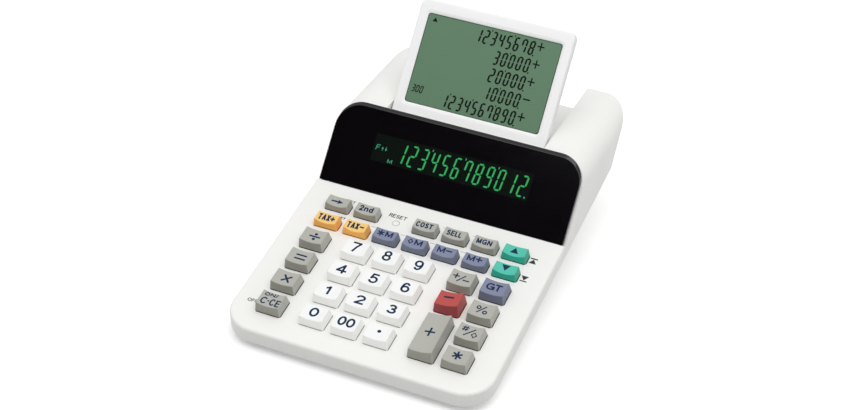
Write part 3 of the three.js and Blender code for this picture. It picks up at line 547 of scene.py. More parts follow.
# %% Keycap mesh
# The lowest band of the walls, painted dark as the shade of the gap round the key.
PAINTED_SHADE_BAND = 0.3
FLANGE = 0.9
FLANGE_TOP = -2.5
FLANGE_LOW = -3.7
DISH_COLUMNS, DISH_ROWS, LONG_DISH_ROWS = 8, 4, 8
LONG_KEY = 20.0
CORNER_ROUND = 0.32
RIM_ROUND = 0.34
# Only the top tone is the plastic's own colour; the front and side tones are painted light and shade, the last is
# painted gap shade.
TOP_TONE, FRONT_PAINTED_LIGHTING, SIDE_PAINTED_LIGHTING, PAINTED_GAP_SHADE = range(4)


def top_height(shape, x, y):
    """The dished top at a place; dish and rise are given at its front and at its rear edge."""
    half = shape["width"] / 2 - shape["side"]
    back = (y - shape["front"]) / (shape["depth"] - shape["rear"] - shape["front"])
    dish, rise = (pair[0] + (pair[1] - pair[0]) * back for pair in (shape["dish"], shape["rise"]))
    return shape["height"] + rise * (x + half) / (2 * half) - dish * max(0.0, 1 - (x / half) ** 2)


def rim_walk(columns, rows):
    """Grid places round the rim, from the front left corner, anticlockwise."""
    return ([(i, 0) for i in range(columns)] + [(columns, j) for j in range(rows)]
            + [(i, rows) for i in range(columns, 0, -1)] + [(0, j) for j in range(rows, 0, -1)])


def keycap(shape):
    rows = LONG_DISH_ROWS if shape["depth"] > LONG_KEY else DISH_ROWS
    half, depth = shape["width"] / 2, shape["depth"]

    def spread(i, count, low, high):
        return low + (high - low) * i / count

    def level(z, grow, side, front, rear):
        return [(spread(i, DISH_COLUMNS, -half + side - grow, half - side + grow),
                 spread(j, rows, front - grow, depth - rear + grow), z)
                for i, j in rim_walk(DISH_COLUMNS, rows)]

    bm = bmesh.new()
    top_half = half - shape["side"]
    grid = {}
    for i in range(DISH_COLUMNS + 1):
        for j in range(rows + 1):
            x = spread(i, DISH_COLUMNS, -top_half, top_half)
            y = spread(j, rows, shape["front"], depth - shape["rear"])
            grid[i, j] = bm.verts.new((x, y, top_height(shape, x, y)))
    for i in range(DISH_COLUMNS):
        for j in range(rows):
            top = bm.faces.new([grid[i, j], grid[i + 1, j], grid[i + 1, j + 1], grid[i, j + 1]])
            top.material_index = TOP_TONE
    rings = [[grid[place] for place in rim_walk(DISH_COLUMNS, rows)]]
    share = PAINTED_SHADE_BAND / shape["height"]
    tapers = [shape[wall] * share for wall in ("side", "front", "rear")]
    rings.append([bm.verts.new(point) for point in level(PAINTED_SHADE_BAND, 0, *tapers)])
    for z, grow in ((FLANGE_TOP, 0), (FLANGE_TOP, FLANGE), (FLANGE_LOW, FLANGE)):
        rings.append([bm.verts.new(point) for point in level(z, grow, 0, 0, 0)])
    count = len(rings[0])
    for step, (upper, lower) in enumerate(zip(rings, rings[1:])):
        for k in range(count):
            wall = bm.faces.new([upper[k], lower[k], lower[(k + 1) % count], upper[(k + 1) % count]])
            # Walls above the foot band take the front or side tone, painted light and shade; all below takes the
            # painted gap shade.
            wall.material_index = PAINTED_GAP_SHADE if step else FRONT_PAINTED_LIGHTING if k < DISH_COLUMNS else SIDE_PAINTED_LIGHTING
    bm.faces.new(rings[-1]).material_index = PAINTED_GAP_SHADE
    weights = bm.edges.layers.float.new("bevel_weight_edge")
    corners = [0, DISH_COLUMNS, DISH_COLUMNS + rows, 2 * DISH_COLUMNS + rows]
    for k in range(count):
        bm.edges.get([rings[0][k], rings[0][(k + 1) % count]])[weights] = RIM_ROUND
    for k in corners:
        for upper, lower in zip(rings[:2], rings[1:3]):
            bm.edges.get([upper[k], lower[k]])[weights] = CORNER_ROUND
    return bm


# %% [markdown]
# The keyboard is a table: each key's column, row, shape and colour. The number columns stand 19 mm apart and the
# rows 18 mm, the spacing that fingers are used to; the two upper rows are lower keys on an 18.25 mm spacing.

# %% Key table
OUTER, INNER, NUMBER_MIDDLE, NUMBER_PITCH = 54.75, 35.5, -9.625, 19.0
UPPER_PITCH, MIDDLE_COLUMN = 18.25, 3
FIRST_ROW, ROW_PITCH = 14.1, 18.0
ROWS = [FIRST_ROW + ROW_PITCH * step for step in range(4)]
LOW_UPPER, TOP_UPPER = 87.2, 102.2
NUMBERS = [NUMBER_MIDDLE + NUMBER_PITCH * step for step in (-1, 0, 1)]

KEYS = {
    "on_clear": (-OUTER, ROWS[0], BIG_KEY, "grey"), "multiply": (-OUTER, ROWS[1], BIG_KEY, "grey"),
    "equals": (-OUTER, ROWS[2], BIG_KEY, "grey"), "divide": (-OUTER, ROWS[3], BIG_KEY, "grey"),
    "0": (NUMBERS[0], ROWS[0], BIG_KEY, "white"), "00": (NUMBERS[1], ROWS[0], BIG_KEY, "white"),
    "point": (NUMBERS[2], ROWS[0], BIG_KEY, "white"), "plus": (INNER, ROWS[0], PLUS_KEY, "grey"),
    "minus": (INNER, ROWS[2], MINUS_KEY, "red"), "sign_change": (INNER, ROWS[3], BIG_KEY, "grey"),
    "total": (OUTER, ROWS[0], BIG_KEY, "grey"), "subtotal": (OUTER, ROWS[1], BIG_KEY, "grey"),
    "percent": (OUTER, ROWS[2], BIG_KEY, "grey"), "grand_total": (OUTER, ROWS[3], BIG_KEY, "violet"),
}
for digit in range(1, 10):
    KEYS[str(digit)] = (NUMBERS[(digit - 1) % 3], ROWS[1 + (digit - 1) // 3], BIG_KEY, "white")
UPPER_ROWS = (
    (LOW_UPPER, ("tax_plus", "tax_minus", "memory_total", "memory_subtotal", "memory_minus", "memory_plus",
                 "scroll_down")),
    (TOP_UPPER, ("backspace", "second", None, "cost", "sell", "margin", "scroll_up")),
)
UPPER_COLOURS = {"tax": "orange", "memory": "violet", "scroll": "teal"}
for row_y, names in UPPER_ROWS:
    for column, name in enumerate(names):
        if name:
            colour = UPPER_COLOURS.get(name.split("_")[0], "grey")
            KEYS[name] = ((column - MIDDLE_COLUMN) * UPPER_PITCH, row_y, SMALL_KEY, colour)
print("keys:", len(KEYS))

# %% Make the keycaps
for name, (x, y, shape, colour) in KEYS.items():
    node = "key_" + name
    finish_piece(node + "_cap", keycap(shape), lifted(DECK, 0, x, y), KEY_ABS[colour], node,
                 node, rounding(1.0, segments=3, sharp=0, weight=60))
print("keycaps:", len(KEYS))

# %% [markdown]
# Signs and letters are drawn flat in millimetres, from simple polygons. Each film of ink is then given a thickness
# that reaches into the plastic, so it is a closed body and can't float.


# %% Flat signs
def polygon(bm, points):
    bm.faces.new([bm.verts.new((px, py, 0)) for px, py in points])


def bar(bm, x0, y0, x1, y1, width):
    """A straight stroke between two points."""
    along = Vector((x1 - x0, y1 - y0)).normalized() * width / 2
    across = Vector((-along.y, along.x))
    polygon(bm, [(x0 - across.x, y0 - across.y), (x1 - across.x, y1 - across.y),
                 (x1 + across.x, y1 + across.y), (x0 + across.x, y0 + across.y)])


def ellipse(x, y, wide, tall, sides):
    return [(x + wide * math.cos(2 * math.pi * k / sides), y + tall * math.sin(2 * math.pi * k / sides))
            for k in range(sides)]


def disc(bm, x, y, radius, sides=16):
    polygon(bm, ellipse(x, y, radius, radius, sides))


def ring(bm, x, y, wide, tall, width, sides=20):
    """An oval outline of one stroke's width."""
    inner = ellipse(x, y, wide - width / 2, tall - width / 2, sides)
    outer = ellipse(x, y, wide + width / 2, tall + width / 2, sides)
    for k in range(sides):
        following = (k + 1) % sides
        polygon(bm, [inner[k], outer[k], outer[following], inner[following]])


def plus(bm, x, y, reach, rise, width):
    """Both strokes in one outline, so that they don't lie in each other."""
    half = width / 2
    polygon(bm, [(x - half, y - rise), (x + half, y - rise), (x + half, y - half), (x + reach, y - half),
                 (x + reach, y + half), (x + half, y + half), (x + half, y + rise), (x - half, y + rise),
                 (x - half, y + half), (x - reach, y + half), (x - reach, y - half), (x - half, y - half)])


def star(bm, x, y, radius, width, arms=6, turn=90.0):
    """Strokes that cross in one point, as a single outline: a times sign, a plus or an asterisk."""
    half = width / 2
    notch = half / math.sin(math.pi / arms)
    points = []
    for k in range(arms):
        angle = math.radians(turn) + 2 * math.pi * k / arms
        along, across = (math.cos(angle), math.sin(angle)), (-math.sin(angle), math.cos(angle))
        points += [(x + radius * along[0] - half * across[0], y + radius * along[1] - half * across[1]),
                   (x + radius * along[0] + half * across[0], y + radius * along[1] + half * across[1])]
        dent = angle + math.pi / arms
        points.append((x + notch * math.cos(dent), y + notch * math.sin(dent)))
    polygon(bm, points)


def diamond(bm, x, y, wide, tall, width):
    ring(bm, x, y, wide, tall, width, sides=4)


# %% [markdown]
# Calculator legends are drawn with strokes of one width, like a sign writer's plain alphabet. Blender's own font
# has other shapes, so each letter here is a few strokes on a unit square: straight ones are lists of points, and a
# bow is an ellipse's centre, its two radii and the angles between which it runs.

# %% Stroke alphabet
BOW = "bow"
ALPHABET = {
    "0": [[(BOW, 0.5, 0.5, 0.5, 0.5, 0, 360)]],
    "1": [[(0.72, 0), (0.72, 1)], [(0, 0.78), (0.4, 0.86), (0.68, 0.98)]],
    "2": [[(BOW, 0.5, 0.71, 0.47, 0.29, 165, -22), (0.62, 0.42), (0.3, 0.2), (0.03, 0)], [(0, 0), (1, 0)]],
    "3": [[(BOW, 0.46, 0.755, 0.42, 0.245, 150, -90)], [(BOW, 0.46, 0.265, 0.52, 0.265, 90, -155)]],
    "4": [[(0.68, 0), (0.68, 1)], [(0.66, 0.98), (0.02, 0.27)], [(0, 0.26), (1, 0.26)]],
    "5": [[(0.92, 1), (0.2, 1)], [(0.2, 1), (0.08, 0.5)], [(BOW, 0.46, 0.325, 0.52, 0.325, 138, -155)]],
    "6": [[(BOW, 0.5, 0.31, 0.5, 0.31, 0, 360)], [(0, 0.33), (BOW, 0.5, 0.5, 0.5, 0.5, 180, 48)]],
    "7": [[(0, 1), (1, 1)], [(0.98, 0.97), (0.62, 0.55), (0.34, 0)]],
    "8": [[(BOW, 0.5, 0.76, 0.42, 0.24, 0, 360)], [(BOW, 0.5, 0.27, 0.5, 0.27, 0, 360)]],
    "9": [[(BOW, 0.5, 0.69, 0.5, 0.31, 0, 360)], [(1, 0.67), (BOW, 0.5, 0.5, 0.5, 0.5, 0, -132)]],
    "A": [[(0, 0), (0.5, 1)], [(0.5, 1), (1, 0)], [(0.18, 0.34), (0.82, 0.34)]],
    "C": [[(BOW, 0.55, 0.5, 0.55, 0.5, 48, 312)]],
    "E": [[(0, 0), (0, 1)], [(0, 1), (1, 1)], [(0, 0.52), (0.92, 0.52)], [(0, 0), (1, 0)]],
    "F": [[(0, 0), (0, 1)], [(0, 1), (1, 1)], [(0, 0.52), (0.88, 0.52)]],
    "G": [[(BOW, 0.52, 0.5, 0.52, 0.5, 46, 345)], [(0.58, 0.45), (1, 0.45)], [(1, 0.45), (1, 0)]],
    "L": [[(0, 1), (0, 0)], [(0, 0), (1, 0)]],
    "M": [[(0, 0), (0, 1)], [(0, 1), (0.5, 0.08)], [(0.5, 0.08), (1, 1)], [(1, 1), (1, 0)]],
    "N": [[(0, 0), (0, 1)], [(0, 1), (1, 0)], [(1, 0), (1, 1)]],
    "O": [[(BOW, 0.5, 0.5, 0.5, 0.5, 0, 360)]],
    "R": [[(0, 0), (0, 1)], [(0, 1), (BOW, 0.62, 0.76, 0.34, 0.24, 90, -90), (0, 0.52)], [(0.6, 0.52), (1, 0)]],
    "S": [[(BOW, 0.5, 0.755, 0.44, 0.245, 28, 270), (BOW, 0.5, 0.255, 0.5, 0.255, 90, -152)]],
    "T": [[(0, 1), (1, 1)], [(0.5, 1), (0.5, 0)]],
    "X": [[(0, 0), (1, 1)], [(0, 1), (1, 0)]],
    "d": [[(BOW, 0.5, 0.34, 0.5, 0.34, 0, 360)], [(1, 0), (1, 1)]],
    "n": [[(0, 0), (0, 0.68)], [(0, 0.4), (BOW, 0.5, 0.42, 0.5, 0.27, 180, 0), (1, 0)]],
    "/": [[(0, -0.04), (1, 1.04)]],
}
WIDTHS = {"1": 0.62, "M": 1.2, "O": 1.2, "C": 1.1, "G": 1.15, "N": 1.1, "F": 0.86, "L": 0.82, "/": 0.5,
          "T": 1.1, "A": 1.2, "X": 1.1}
SPACING = 0.14
BOW_STEP = 24
PEN_REACH = 0.35
TOUCHING = 0.01
LEAST_MITRE = 0.5


def bow(cx, cy, rx, ry, start, stop):
    steps = max(2, round(abs(stop - start) / BOW_STEP))
    return [(cx + rx * math.cos(math.radians(start + (stop - start) * k / steps)),
             cy + ry * math.sin(math.radians(start + (stop - start) * k / steps))) for k in range(steps + 1)]


def ribbon(bm, points, width):
    """A stroke along a bent line, as one strip with mitred bends. Open ends reach on like a pen's tip."""
    closed = (Vector(points[0]) - Vector(points[-1])).length < TOUCHING
    line = [Vector(p) for p in (points[:-1] if closed else points)]
    count = len(line)
    if not closed:
        line[0], line[-1] = (line[0] + PEN_REACH * width * (line[0] - line[1]).normalized(),
                             line[-1] + PEN_REACH * width * (line[-1] - line[-2]).normalized())
    sides = []
    for k, point in enumerate(line):
        before = point - line[k - 1] if k or closed else line[1] - point
        after = line[(k + 1) % count] - point if k < count - 1 or closed else before
        before, after = before.normalized(), after.normalized()
        along = (before + after).normalized()
        across = Vector((-along.y, along.x)) * width / 2 / max(along.dot(after), LEAST_MITRE)
        sides.append([bm.verts.new((point.x + s * across.x, point.y + s * across.y, 0)) for s in (-1, 1)])
    for k in range(count if closed else count - 1):
        a, b = sides[k], sides[(k + 1) % count]
        bm.faces.new([a[0], b[0], b[1], a[1]])


def letter(bm, sign, left, foot, width, height, stroke, lean=0.0):
    wide, tall = width - stroke, height - stroke
    for strokes in ALPHABET[sign]:
        points = []
        for part in strokes:
            points += bow(*part[1:]) if part[0] == BOW else [part]
        placed = [(left + stroke / 2 + px * wide, foot + stroke / 2 + py * tall) for px, py in points]
        ribbon(bm, [(px + lean * (py - foot), py) for px, py in placed], stroke)


def word(bm, text, x, y, height, width, stroke, lean=0.0):
    """Letters side by side, centred on x and as wide together as width, with their foot on y."""
    parts = [WIDTHS.get(sign, 1.0) for sign in text]
    unit = width / (sum(parts) + SPACING * (len(text) - 1))
    left = x - width / 2
    for sign, part in zip(text, parts):
        letter(bm, sign, left, y, part * unit, height, stroke, lean)
        left += (part + SPACING) * unit


def drawn(signs):
    """A mesh with all signs of a list, each given as its function and that function's values."""
    bm = bmesh.new()
    for draw, *values in signs:
        draw(bm, *values)
    return bm


print("letters:", len(ALPHABET))

# %% [markdown]
# The legends' places were measured on the photograph in each key's own millimetres: x from its middle, y from its
# front edge. The number keys carry the boldest signs, each with its own left edge, foot, width and height; the
# function keys carry thinner ones.

# %% Legend table
BOLD = 1.25
LEGENDS = {
    "on_clear": [(word, "ON/", -1.4, 8.0, 2.5, 7.9, 0.6), (word, "C", -3.75, 1.8, 5.0, 3.6, 0.85),
                 (disc, -1.15, 4.6, 0.55, 8), (word, "CE", 3.0, 1.8, 5.0, 6.3, 0.85)],
    "divide": [(bar, -2.8, 5.5, 3.8, 5.5, 1.1), (disc, 0.6, 7.5, 0.95), (disc, 0.6, 3.5, 0.95)],
    "equals": [(bar, -2.95, 4.25, 3.65, 4.25, 1.1), (bar, -2.95, 7.2, 3.65, 7.2, 1.1)],
    "multiply": [(star, 0.6, 5.6, 3.4, 1.1, 4, 40.0)],
    "plus": [(plus, -0.4, 15.6, 3.0, 3.1, 1.1)],
    "total": [(star, -0.1, 6.2, 2.9, 1.1)],
    "minus": [(bar, -3.6, 6.9, 2.3, 6.9, 1.3)],
    "percent": [(ring, -2.4, 7.1, 1.0, 1.05, 0.75), (ring, 1.8, 4.4, 1.0, 1.05, 0.75),
                (bar, -2.6, 3.2, 1.6, 8.8, 0.7)],
    "sign_change": [(plus, -3.6, 6.9, 2.0, 2.0, 0.85), (bar, -2.2, 2.9, 1.5, 8.3, 0.75),
                    (bar, 0.8, 4.8, 4.6, 4.8, 0.85)],
    "subtotal": [(bar, -5.1, 7.25, -1.5, 7.25, 0.65), (bar, -4.9, 8.7, -1.3, 8.7, 0.65),
                 (bar, -4.3, 6.1, -3.7, 9.8, 0.65), (bar, -2.9, 6.1, -2.3, 9.8, 0.65),
                 (bar, -2.9, 3.0, 2.4, 8.9, 0.72), (diamond, 2.75, 4.75, 1.45, 1.8, 0.75)],
    "grand_total": [(word, "G", -2.35, 3.5, 5.2, 5.0, 1.0), (word, "T", 2.1, 3.5, 5.2, 4.2, 1.0)],
    "backspace": [(bar, -4.2, 3.9, 0.8, 3.9, 1.0), (polygon, [(-0.5, 2.4), (3.1, 3.9), (-0.5, 5.4), (0.4, 3.9)])],
    "second": [(word, "2nd", -0.6, 2.5, 3.9, 8.6, 0.88)],
    "tax_plus": [(word, "TAX", -1.95, 2.1, 4.3, 7.3, 0.95), (plus, 3.2, 4.3, 1.45, 1.5, 0.9)],
    "tax_minus": [(word, "TAX", -2.05, 2.1, 4.3, 7.3, 0.95), (bar, 2.1, 4.4, 4.6, 4.4, 1.0)],
    "memory_total": [(star, -3.05, 4.5, 2.1, 0.85), (word, "M", 2.0, 2.7, 3.9, 4.4, 0.85)],
    "memory_subtotal": [(diamond, -3.05, 4.5, 1.25, 1.45, 0.85), (word, "M", 1.8, 2.7, 3.9, 4.6, 0.85)],
    "memory_minus": [(word, "M", -2.45, 2.7, 3.9, 4.5, 0.85), (bar, 0.4, 4.9, 3.9, 4.9, 0.85)],
    "memory_plus": [(word, "M", -2.75, 2.7, 3.9, 4.5, 0.85), (plus, 1.95, 4.9, 1.85, 1.8, 0.85)],
    "cost": [(word, "COST", -0.75, 2.5, 3.7, 10.2, 0.78)],
    "sell": [(word, "SELL", -0.65, 2.5, 3.7, 9.0, 0.78)],
    "margin": [(word, "MGN", -0.6, 2.5, 3.7, 9.2, 0.78)],
    "scroll_up": [(polygon, [(-2.9, 2.5), (2.0, 2.5), (-0.4, 6.3)])],
    "scroll_down": [(polygon, [(-2.9, 6.5), (-0.3, 2.5), (2.1, 6.5)])],
    "point": [(disc, 0.1, 6.6, 1.1)],
    "00": [(word, "0", -2.65, 2.9, 6.8, 4.7, BOLD), (word, "0", 2.4, 2.9, 6.8, 4.9, BOLD)],
}
NUMBER_SIGNS = {
    "0": (-3.0, 2.9, 5.3, 6.8), "1": (-2.3, 2.9, 3.7, 6.6), "2": (-2.9, 2.8, 5.7, 6.7), "3": (-2.6, 2.8, 5.2, 6.7),
    "4": (-3.4, 2.3, 6.3, 7.2), "5": (-2.45, 2.0, 5.3, 7.5), "6": (-2.4, 2.1, 5.15, 7.5), "7": (-3.2, 2.4, 5.5, 8.0),
    "8": (-2.75, 2.7, 5.15, 7.9), "9": (-2.6, 2.4, 5.15, 7.8),
}
for digit, (left, foot, wide, tall) in NUMBER_SIGNS.items():
    LEGENDS[digit] = [(letter, digit, left, foot, wide, tall, BOLD)]
print("legends:", len(LEGENDS))

# %% [markdown]
# A legend follows its key's hollow top. It is printed so that its lines look straight from where the user sits, so
# what lies higher up the dish is drawn a little nearer. The flat drawing is then cut along the same lines as the
# keycap's grid, and each point is lifted to the dish, so the ink lies on the cap's facets and never sinks in.

# %% Print the legends
FILM = 0.04
FILM_DEPTH = 0.14
LOOK_RIGHT, LOOK_NEAR = 0.4, 0.96
WELD, CUT_SLACK = 0.002, 0.0005


def print_film(name, bm, plane, material, body):
    bmesh.ops.remove_doubles(bm, verts=bm.verts, dist=WELD)
    finish_piece(name, bm, plane, material, body, smooth=False, modifiers=[
        ("SOLIDIFY", {"thickness": (FILM + FILM_DEPTH) * MM, "offset": -1.0})])


def cut_along(bm, lines):
    for line in lines:
        bmesh.ops.bisect_plane(bm, geom=bm.verts[:] + bm.edges[:] + bm.faces[:], dist=CUT_SLACK,
                               plane_co=(line, 0, 0), plane_no=(1, 0, 0))


def lift_to_dish(bm, shape):
    half = shape["width"] / 2 - shape["side"]
    lines = [half * (2 * k / DISH_COLUMNS - 1) for k in range(DISH_COLUMNS + 1)]
    cut_along(bm, lines[1:-1])
    for v in bm.verts:
        both_sides = top_height(shape, v.co.x, v.co.y) + top_height(shape, -v.co.x, v.co.y)
        above_middle = both_sides / 2 - top_height(shape, 0, v.co.y)
        v.co.x += LOOK_RIGHT * above_middle
        v.co.y -= LOOK_NEAR * above_middle
    cut_along(bm, lines[1:-1])
    bmesh.ops.triangulate(bm, faces=bm.faces)
    for v in bm.verts:
        cell = min(max(int((v.co.x + half) / (2 * half) * DISH_COLUMNS), 0), DISH_COLUMNS - 1)
        share = (v.co.x - lines[cell]) / (lines[cell + 1] - lines[cell])
        low, high = (top_height(shape, line, v.co.y) for line in lines[cell:cell + 2])
        v.co.z = low + (high - low) * share + FILM


for name, (x, y, shape, colour) in KEYS.items():
    legend = drawn(LEGENDS[name])
    lift_to_dish(legend, shape)
    node = "key_" + name
    print_film(node + "_legend", legend, lifted(DECK, 0, x, y), NAVY_INK, node)
print("legends printed")

# %% [markdown]
# The deck carries a little print of its own: words and a ring at the sunk reset button, words beside some keys, thin
# lines that tie keys with a shared function, and two signs beside the scroll keys for the first and the last line.

# %% Print on the deck
TICK = 0.22
RESET_Y, RESET_RING_X, RESET_RING = 106.15, -18.55, 2.15
DECK_SIGNS = [
    (word, "RESET", -19.5, 110.1, 2.9, 10.9, 0.48), (word, "OFF", -67.0, 19.5, 2.4, 6.2, 0.42),
    (word, "SET", -49.9, 112.0, 2.1, 5.4, 0.42), (word, "SET", -49.4, 97.6, 1.9, 4.9, 0.42),
    (polygon, [(63.1, 104.5), (67.5, 104.5), (65.4, 107.9)]), (bar, 63.2, 108.4, 67.5, 108.4, 0.9),
    (polygon, [(63.3, 93.9), (65.5, 90.4), (67.6, 93.9)]), (bar, 63.5, 89.8, 67.5, 89.8, 0.8),
]
DECK_LINES = [(bar, x0, y, x1, y, TICK) for x0, x1, y in (
    (-30.6, -25.6, 98.6), (-12.2, -7.7, 98.6), (6.0, 10.6, 98.6), (24.3, 28.8, 98.6), (8.0, 12.6, 112.9),
    (26.3, 30.6, 112.9))]
DECK_LINES += [(bar, x, 111.8, x, 113.4, TICK) for x in (-0.4, 17.6, 36.1)]
DECK_LINES.append((ring, RESET_RING_X, RESET_Y, RESET_RING, RESET_RING, TICK))
print_film("deck_signs", drawn(DECK_SIGNS), lifted(DECK, FILM), DECK_INK, "housing")
print_film("deck_lines", drawn(DECK_LINES), lifted(DECK, FILM), LINE_INK, "housing")
print("deck printed")

# %% [markdown]
# Small fittings that the frame leaves plain. The reset button gets the cap that brings it up to the deck. Four
# screws with a cross recess sit deep in the base's wells, the adapter socket has its pin, and the battery door has
# an arrow and ribs for the thumb. Each is a stack of outlines, closed at both ends.

# %% Reset cap
RESET_SECTION = ((-1.0, 1.72), (-0.22, 1.72), (-0.12, 1.6), (-0.12, 1.1), (-0.2, 0.6))


def circle(x, y, z, radius, sides=24):
    return [(px, py, z) for px, py in ellipse(x, y, radius, radius, sides)]


reset_cap = bmesh.new()
stacked(reset_cap, [circle(-UPPER_PITCH, RESET_Y, z, radius) for z, radius in RESET_SECTION])
finish_piece("reset_button_cap", reset_cap, DECK, CASE_ABS, "reset_button", smooth=False)
print("reset cap made")

# %% Case screws
WELL_SEAT = 11.0
SCREWS = ((-58.0, 118.0), (58.0, 118.0), (-57.0, 173.0), (57.0, 173.0))
SCREW_SECTION = ((-1.9, 2.0), (-1.5, 2.6), (-0.9, 2.8), (0.02, 2.8))
RECESS_SECTION = ((-0.9, 1.35, 0.3), (-1.9, 1.5, 0.36))


def cross_ring(x, y, z, reach, half):
    """A cross with 24 corners, and a circle can have its corners in the same directions."""
    quarter = [(reach, 0), (reach, half), ((reach + half) / 2, half), (half, half), (half, (reach + half) / 2),
               (half, reach)]
    corners = []
    for turn in range(4):
        corners += [(x + px, y + py, z) for px, py in quarter]
        quarter = [(-py, px) for px, py in quarter]
    return corners


def round_like(corners, x, y, z, radius):
    directions = [Vector((corner[0] - x, corner[1] - y)).normalized() * radius for corner in corners]
    return [(x + d.x, y + d.y, z) for d in directions]


screws = bmesh.new()
for x, y in SCREWS:
    recess, face = [cross_ring(x, y, WELL_SEAT + z, reach, half) for z, reach, half in RECESS_SECTION]
    stacked(screws, [recess, face] + [round_like(face, x, y, WELL_SEAT + z, radius) for z, radius in SCREW_SECTION])
finish_piece("case_screws", screws, TABLE, STEEL, "housing", smooth=False)
print("screws:", len(SCREWS))

# %% Socket pin
SOCKET = (-50.0, 207.995, 30.0)
INTO_SOCKET = Matrix.Rotation(math.radians(-90), 4, "X")
PIN_SECTION = ((-11.2, 0.85), (-2.6, 0.85), (-2.0, 0.5))
pin = bmesh.new()
stacked(pin, [circle(0, 0, z, radius, 16) for z, radius in PIN_SECTION])
finish_piece("socket_pin", pin, TABLE @ Matrix.Translation(SOCKET) @ INTO_SOCKET, STEEL, "housing",
             smooth=False)
print("socket pin made")

# %% Thumb ribs and arrow
BASE_FACE = 2.4
RIBS, RIB_PITCH, RIB_FOOT, RIB_HALF = 5, 1.6, 184.0, 9
RIB_SECTION = ((-0.35, 0.5), (0.3, 0.8))
ARROW, ARROW_HEIGHTS = ((-3, 179.0), (3, 179.0), (0, 182.4)), (-0.2, 0.3)
grip = bmesh.new()
for rib in range(RIBS):
    y = RIB_FOOT + RIB_PITCH * rib
    stacked(grip, [[(-RIB_HALF, y, BASE_FACE + z), (RIB_HALF, y, BASE_FACE + z),
                    (RIB_HALF, y + thick, BASE_FACE + z), (-RIB_HALF, y + thick, BASE_FACE + z)]
                   for z, thick in RIB_SECTION])
stacked(grip, [[(x, y, BASE_FACE + z) for x, y in ARROW] for z in ARROW_HEIGHTS])
finish_piece("battery_door_grip", grip, TABLE, BASE_ABS, "battery_door", smooth=False)
print("thumb ribs:", RIBS)

# %% [markdown]
# Both displays write with seven segments. Each segment is a long hexagon, and a digit leans a little to the right.
# The green digits behind the window are tall and thin; those of the flip-up screen are smaller and closer. The
# smoked acrylic is drawn opaque here, so the filter and the green digits are films on its face.

# %% Seven segments
SEGMENTS = {"0": "abcdef", "1": "bc", "2": "abged", "3": "abgcd", "4": "fgbc", "5": "afgcd", "6": "afgedc",
            "7": "abcf", "8": "abcdefg", "9": "abfgcd"}


def segment_digit(bm, digit, left, foot, width, height, stroke, gap, lean):
    inset, middle = stroke / 2, height / 2
    right, top = width - inset, height - inset
    ends = {"a": (inset, top, right, top), "g": (inset, middle, right, middle), "d": (inset, inset, right, inset),
            "f": (inset, middle, inset, top), "b": (right, middle, right, top),
            "e": (inset, inset, inset, middle), "c": (right, inset, right, middle)}
    for letter in SEGMENTS[digit]:
        x0, y0, x1, y1 = ends[letter]
        along = Vector((x1 - x0, y1 - y0)).normalized()
        across = Vector((-along.y, along.x)) * stroke / 2
        start, end = Vector((x0, y0)) + along * gap, Vector((x1, y1)) - along * gap
        shoulder = along * stroke / 2
        corners = [start, start + shoulder - across, end - shoulder - across, end,
                   end - shoulder + across, start + shoulder + across]
        polygon(bm, [(left + c.x + lean * c.y, foot + c.y) for c in corners])


def leaning(bm, left, foot, lean, points):
    polygon(bm, [(left + px + lean * py, foot + py) for px, py in points])


# %% Green digits behind the window
GREEN = {"width": 4.3, "height": 12.9, "stroke": 1.0, "gap": 0.2, "lean": 0.11}
GREEN_PITCH, GREEN_FOOT, GREEN_LEFT = 6.84, 20.1, -33.75
GREEN_DIGITS = "123456789012"
GREEN_COMMA = [(5.45, 12.3), (5.95, 12.3), (6.1, 13.6), (5.45, 13.6)]
FILTER = [(-49.0, 18.6), (49.0, 18.6), (49.0, 35.0), (-49.0, 35.0)]
ARROWS = ((-43.3, 27.8, 25.4, 0.75), (-41.1, 25.6, 28.2, -0.75))
ARROW_STEM = 0.35

green = bmesh.new()
lefts = [GREEN_LEFT + GREEN_PITCH * place for place in range(len(GREEN_DIGITS))]
for left, digit in zip(lefts, GREEN_DIGITS):
    segment_digit(green, digit, left, GREEN_FOOT, **GREEN)
marks = [(leaning, lefts[place], GREEN_FOOT, GREEN["lean"], GREEN_COMMA) for place in (2, 5, 8)]
marks += [(disc, 47.0, 20.45, 0.55, 10), (word, "F", -46.5, 25.2, 3.4, 2.3, 0.45, 0.15),
          (word, "M", -36.85, 19.3, 2.4, 3.0, 0.45)]
for x, tip, tail, side in ARROWS:
    middle = (tip + tail) / 2
    marks += [(bar, x, middle, x, tail, ARROW_STEM), (polygon, [(x - side, middle), (x + side, middle), (x, tip)])]
print_film("display_filter", drawn([(polygon, FILTER)]), lifted(WINDOW, FILM), FILTER_FILM, "housing")
print_film("display_digits", green, lifted(WINDOW, 2 * FILM), GLOWING_GREEN, "housing")
print_film("display_marks", drawn(marks), lifted(WINDOW, 2 * FILM), DIM_GREEN, "housing")
print("green digits:", len(GREEN_DIGITS))

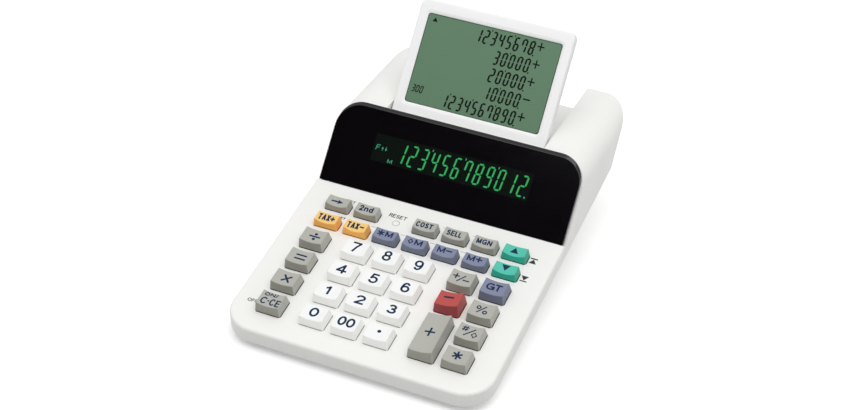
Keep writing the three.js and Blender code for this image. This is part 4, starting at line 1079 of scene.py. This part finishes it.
# %% Digits of the flip-up screen
GLASS_FACE = 3.4
DARK = {"width": 3.35, "height": 8.6, "stroke": 1.05, "gap": 0.03, "lean": 0.095}
DARK_PITCH, DARK_LEFT = 4.72, 22.4
DARK_COMMA = [(3.7, 8.2), (4.25, 8.2), (4.25, 9.3), (3.7, 9.3)]
POINT_X, SIGN_X, SIGN_RISE = 26.25, 29.7, 6.1
SMALL_DARK = {"width": 2.0, "height": 4.6, "stroke": 0.62, "gap": 0.0, "lean": 0.12}
SMALL_PITCH, SMALL_LEFT, SMALL_FOOT = 2.5, -39.9, 14.2
POINTER = [(-38.7, 57.6), (-35.5, 57.6), (-37.1, 60.2)]
ROWS_SHOWN = ((51.55, "12345678", "+"), (40.95, "30000", "+"), (30.35, "20000", "+"), (19.75, "10000", "-"),
              (9.2, "1234567890", "+"))

dark = bmesh.new()
for foot, digits, sign in ROWS_SHOWN:
    for place, digit in enumerate(reversed(digits)):
        left = DARK_LEFT - DARK_PITCH * place
        segment_digit(dark, digit, left, foot, **DARK)
        if place and place % 3 == 0:
            leaning(dark, left, foot, DARK["lean"], DARK_COMMA)
    disc(dark, POINT_X, foot + 0.1, 0.5, 8)
    if sign == "+":
        plus(dark, SIGN_X, foot + SIGN_RISE, 2.15, 2.5, 0.8)
    else:
        bar(dark, 27.6, foot + SIGN_RISE, 32.0, foot + SIGN_RISE, 0.85)
for place, digit in enumerate("300"):
    segment_digit(dark, digit, SMALL_LEFT + SMALL_PITCH * place, SMALL_FOOT, **SMALL_DARK)
polygon(dark, POINTER)
print_film("screen_digits", dark, lifted(SCREEN, GLASS_FACE + FILM), LCD_DARK, "screen")
print("rows on the flip-up screen:", len(ROWS_SHOWN))

# %% [markdown]
# A dark line of painted shadow runs along the left and the upper side of the glass, just inside the frame's
# opening, where the frame's edge shades the glass.

# %% Painted shadow along the glass's edge
SHADOW_LINE_WIDTH, SHADOW_LINE_INSET = 0.4, 0.05
shadow_line = bmesh.new()
outer, inner = [[(x, y) for x, y, z in outline(OPENING, inset, 0)] for inset in (SHADOW_LINE_INSET, SHADOW_LINE_INSET + SHADOW_LINE_WIDTH)]
for k in range(len(outer) // 4 + 2, 3 * len(outer) // 4 + 2):
    polygon(shadow_line, [outer[k], outer[k + 1], inner[k + 1], inner[k]])
print_film("screen_painted_shadow", shadow_line, lifted(SCREEN, GLASS_FACE + FILM), LCD_PAINTED_SHADOW, "screen")
print("polariser edge:", SHADOW_LINE_WIDTH, "mm wide")

# %% The end
print("scene built")
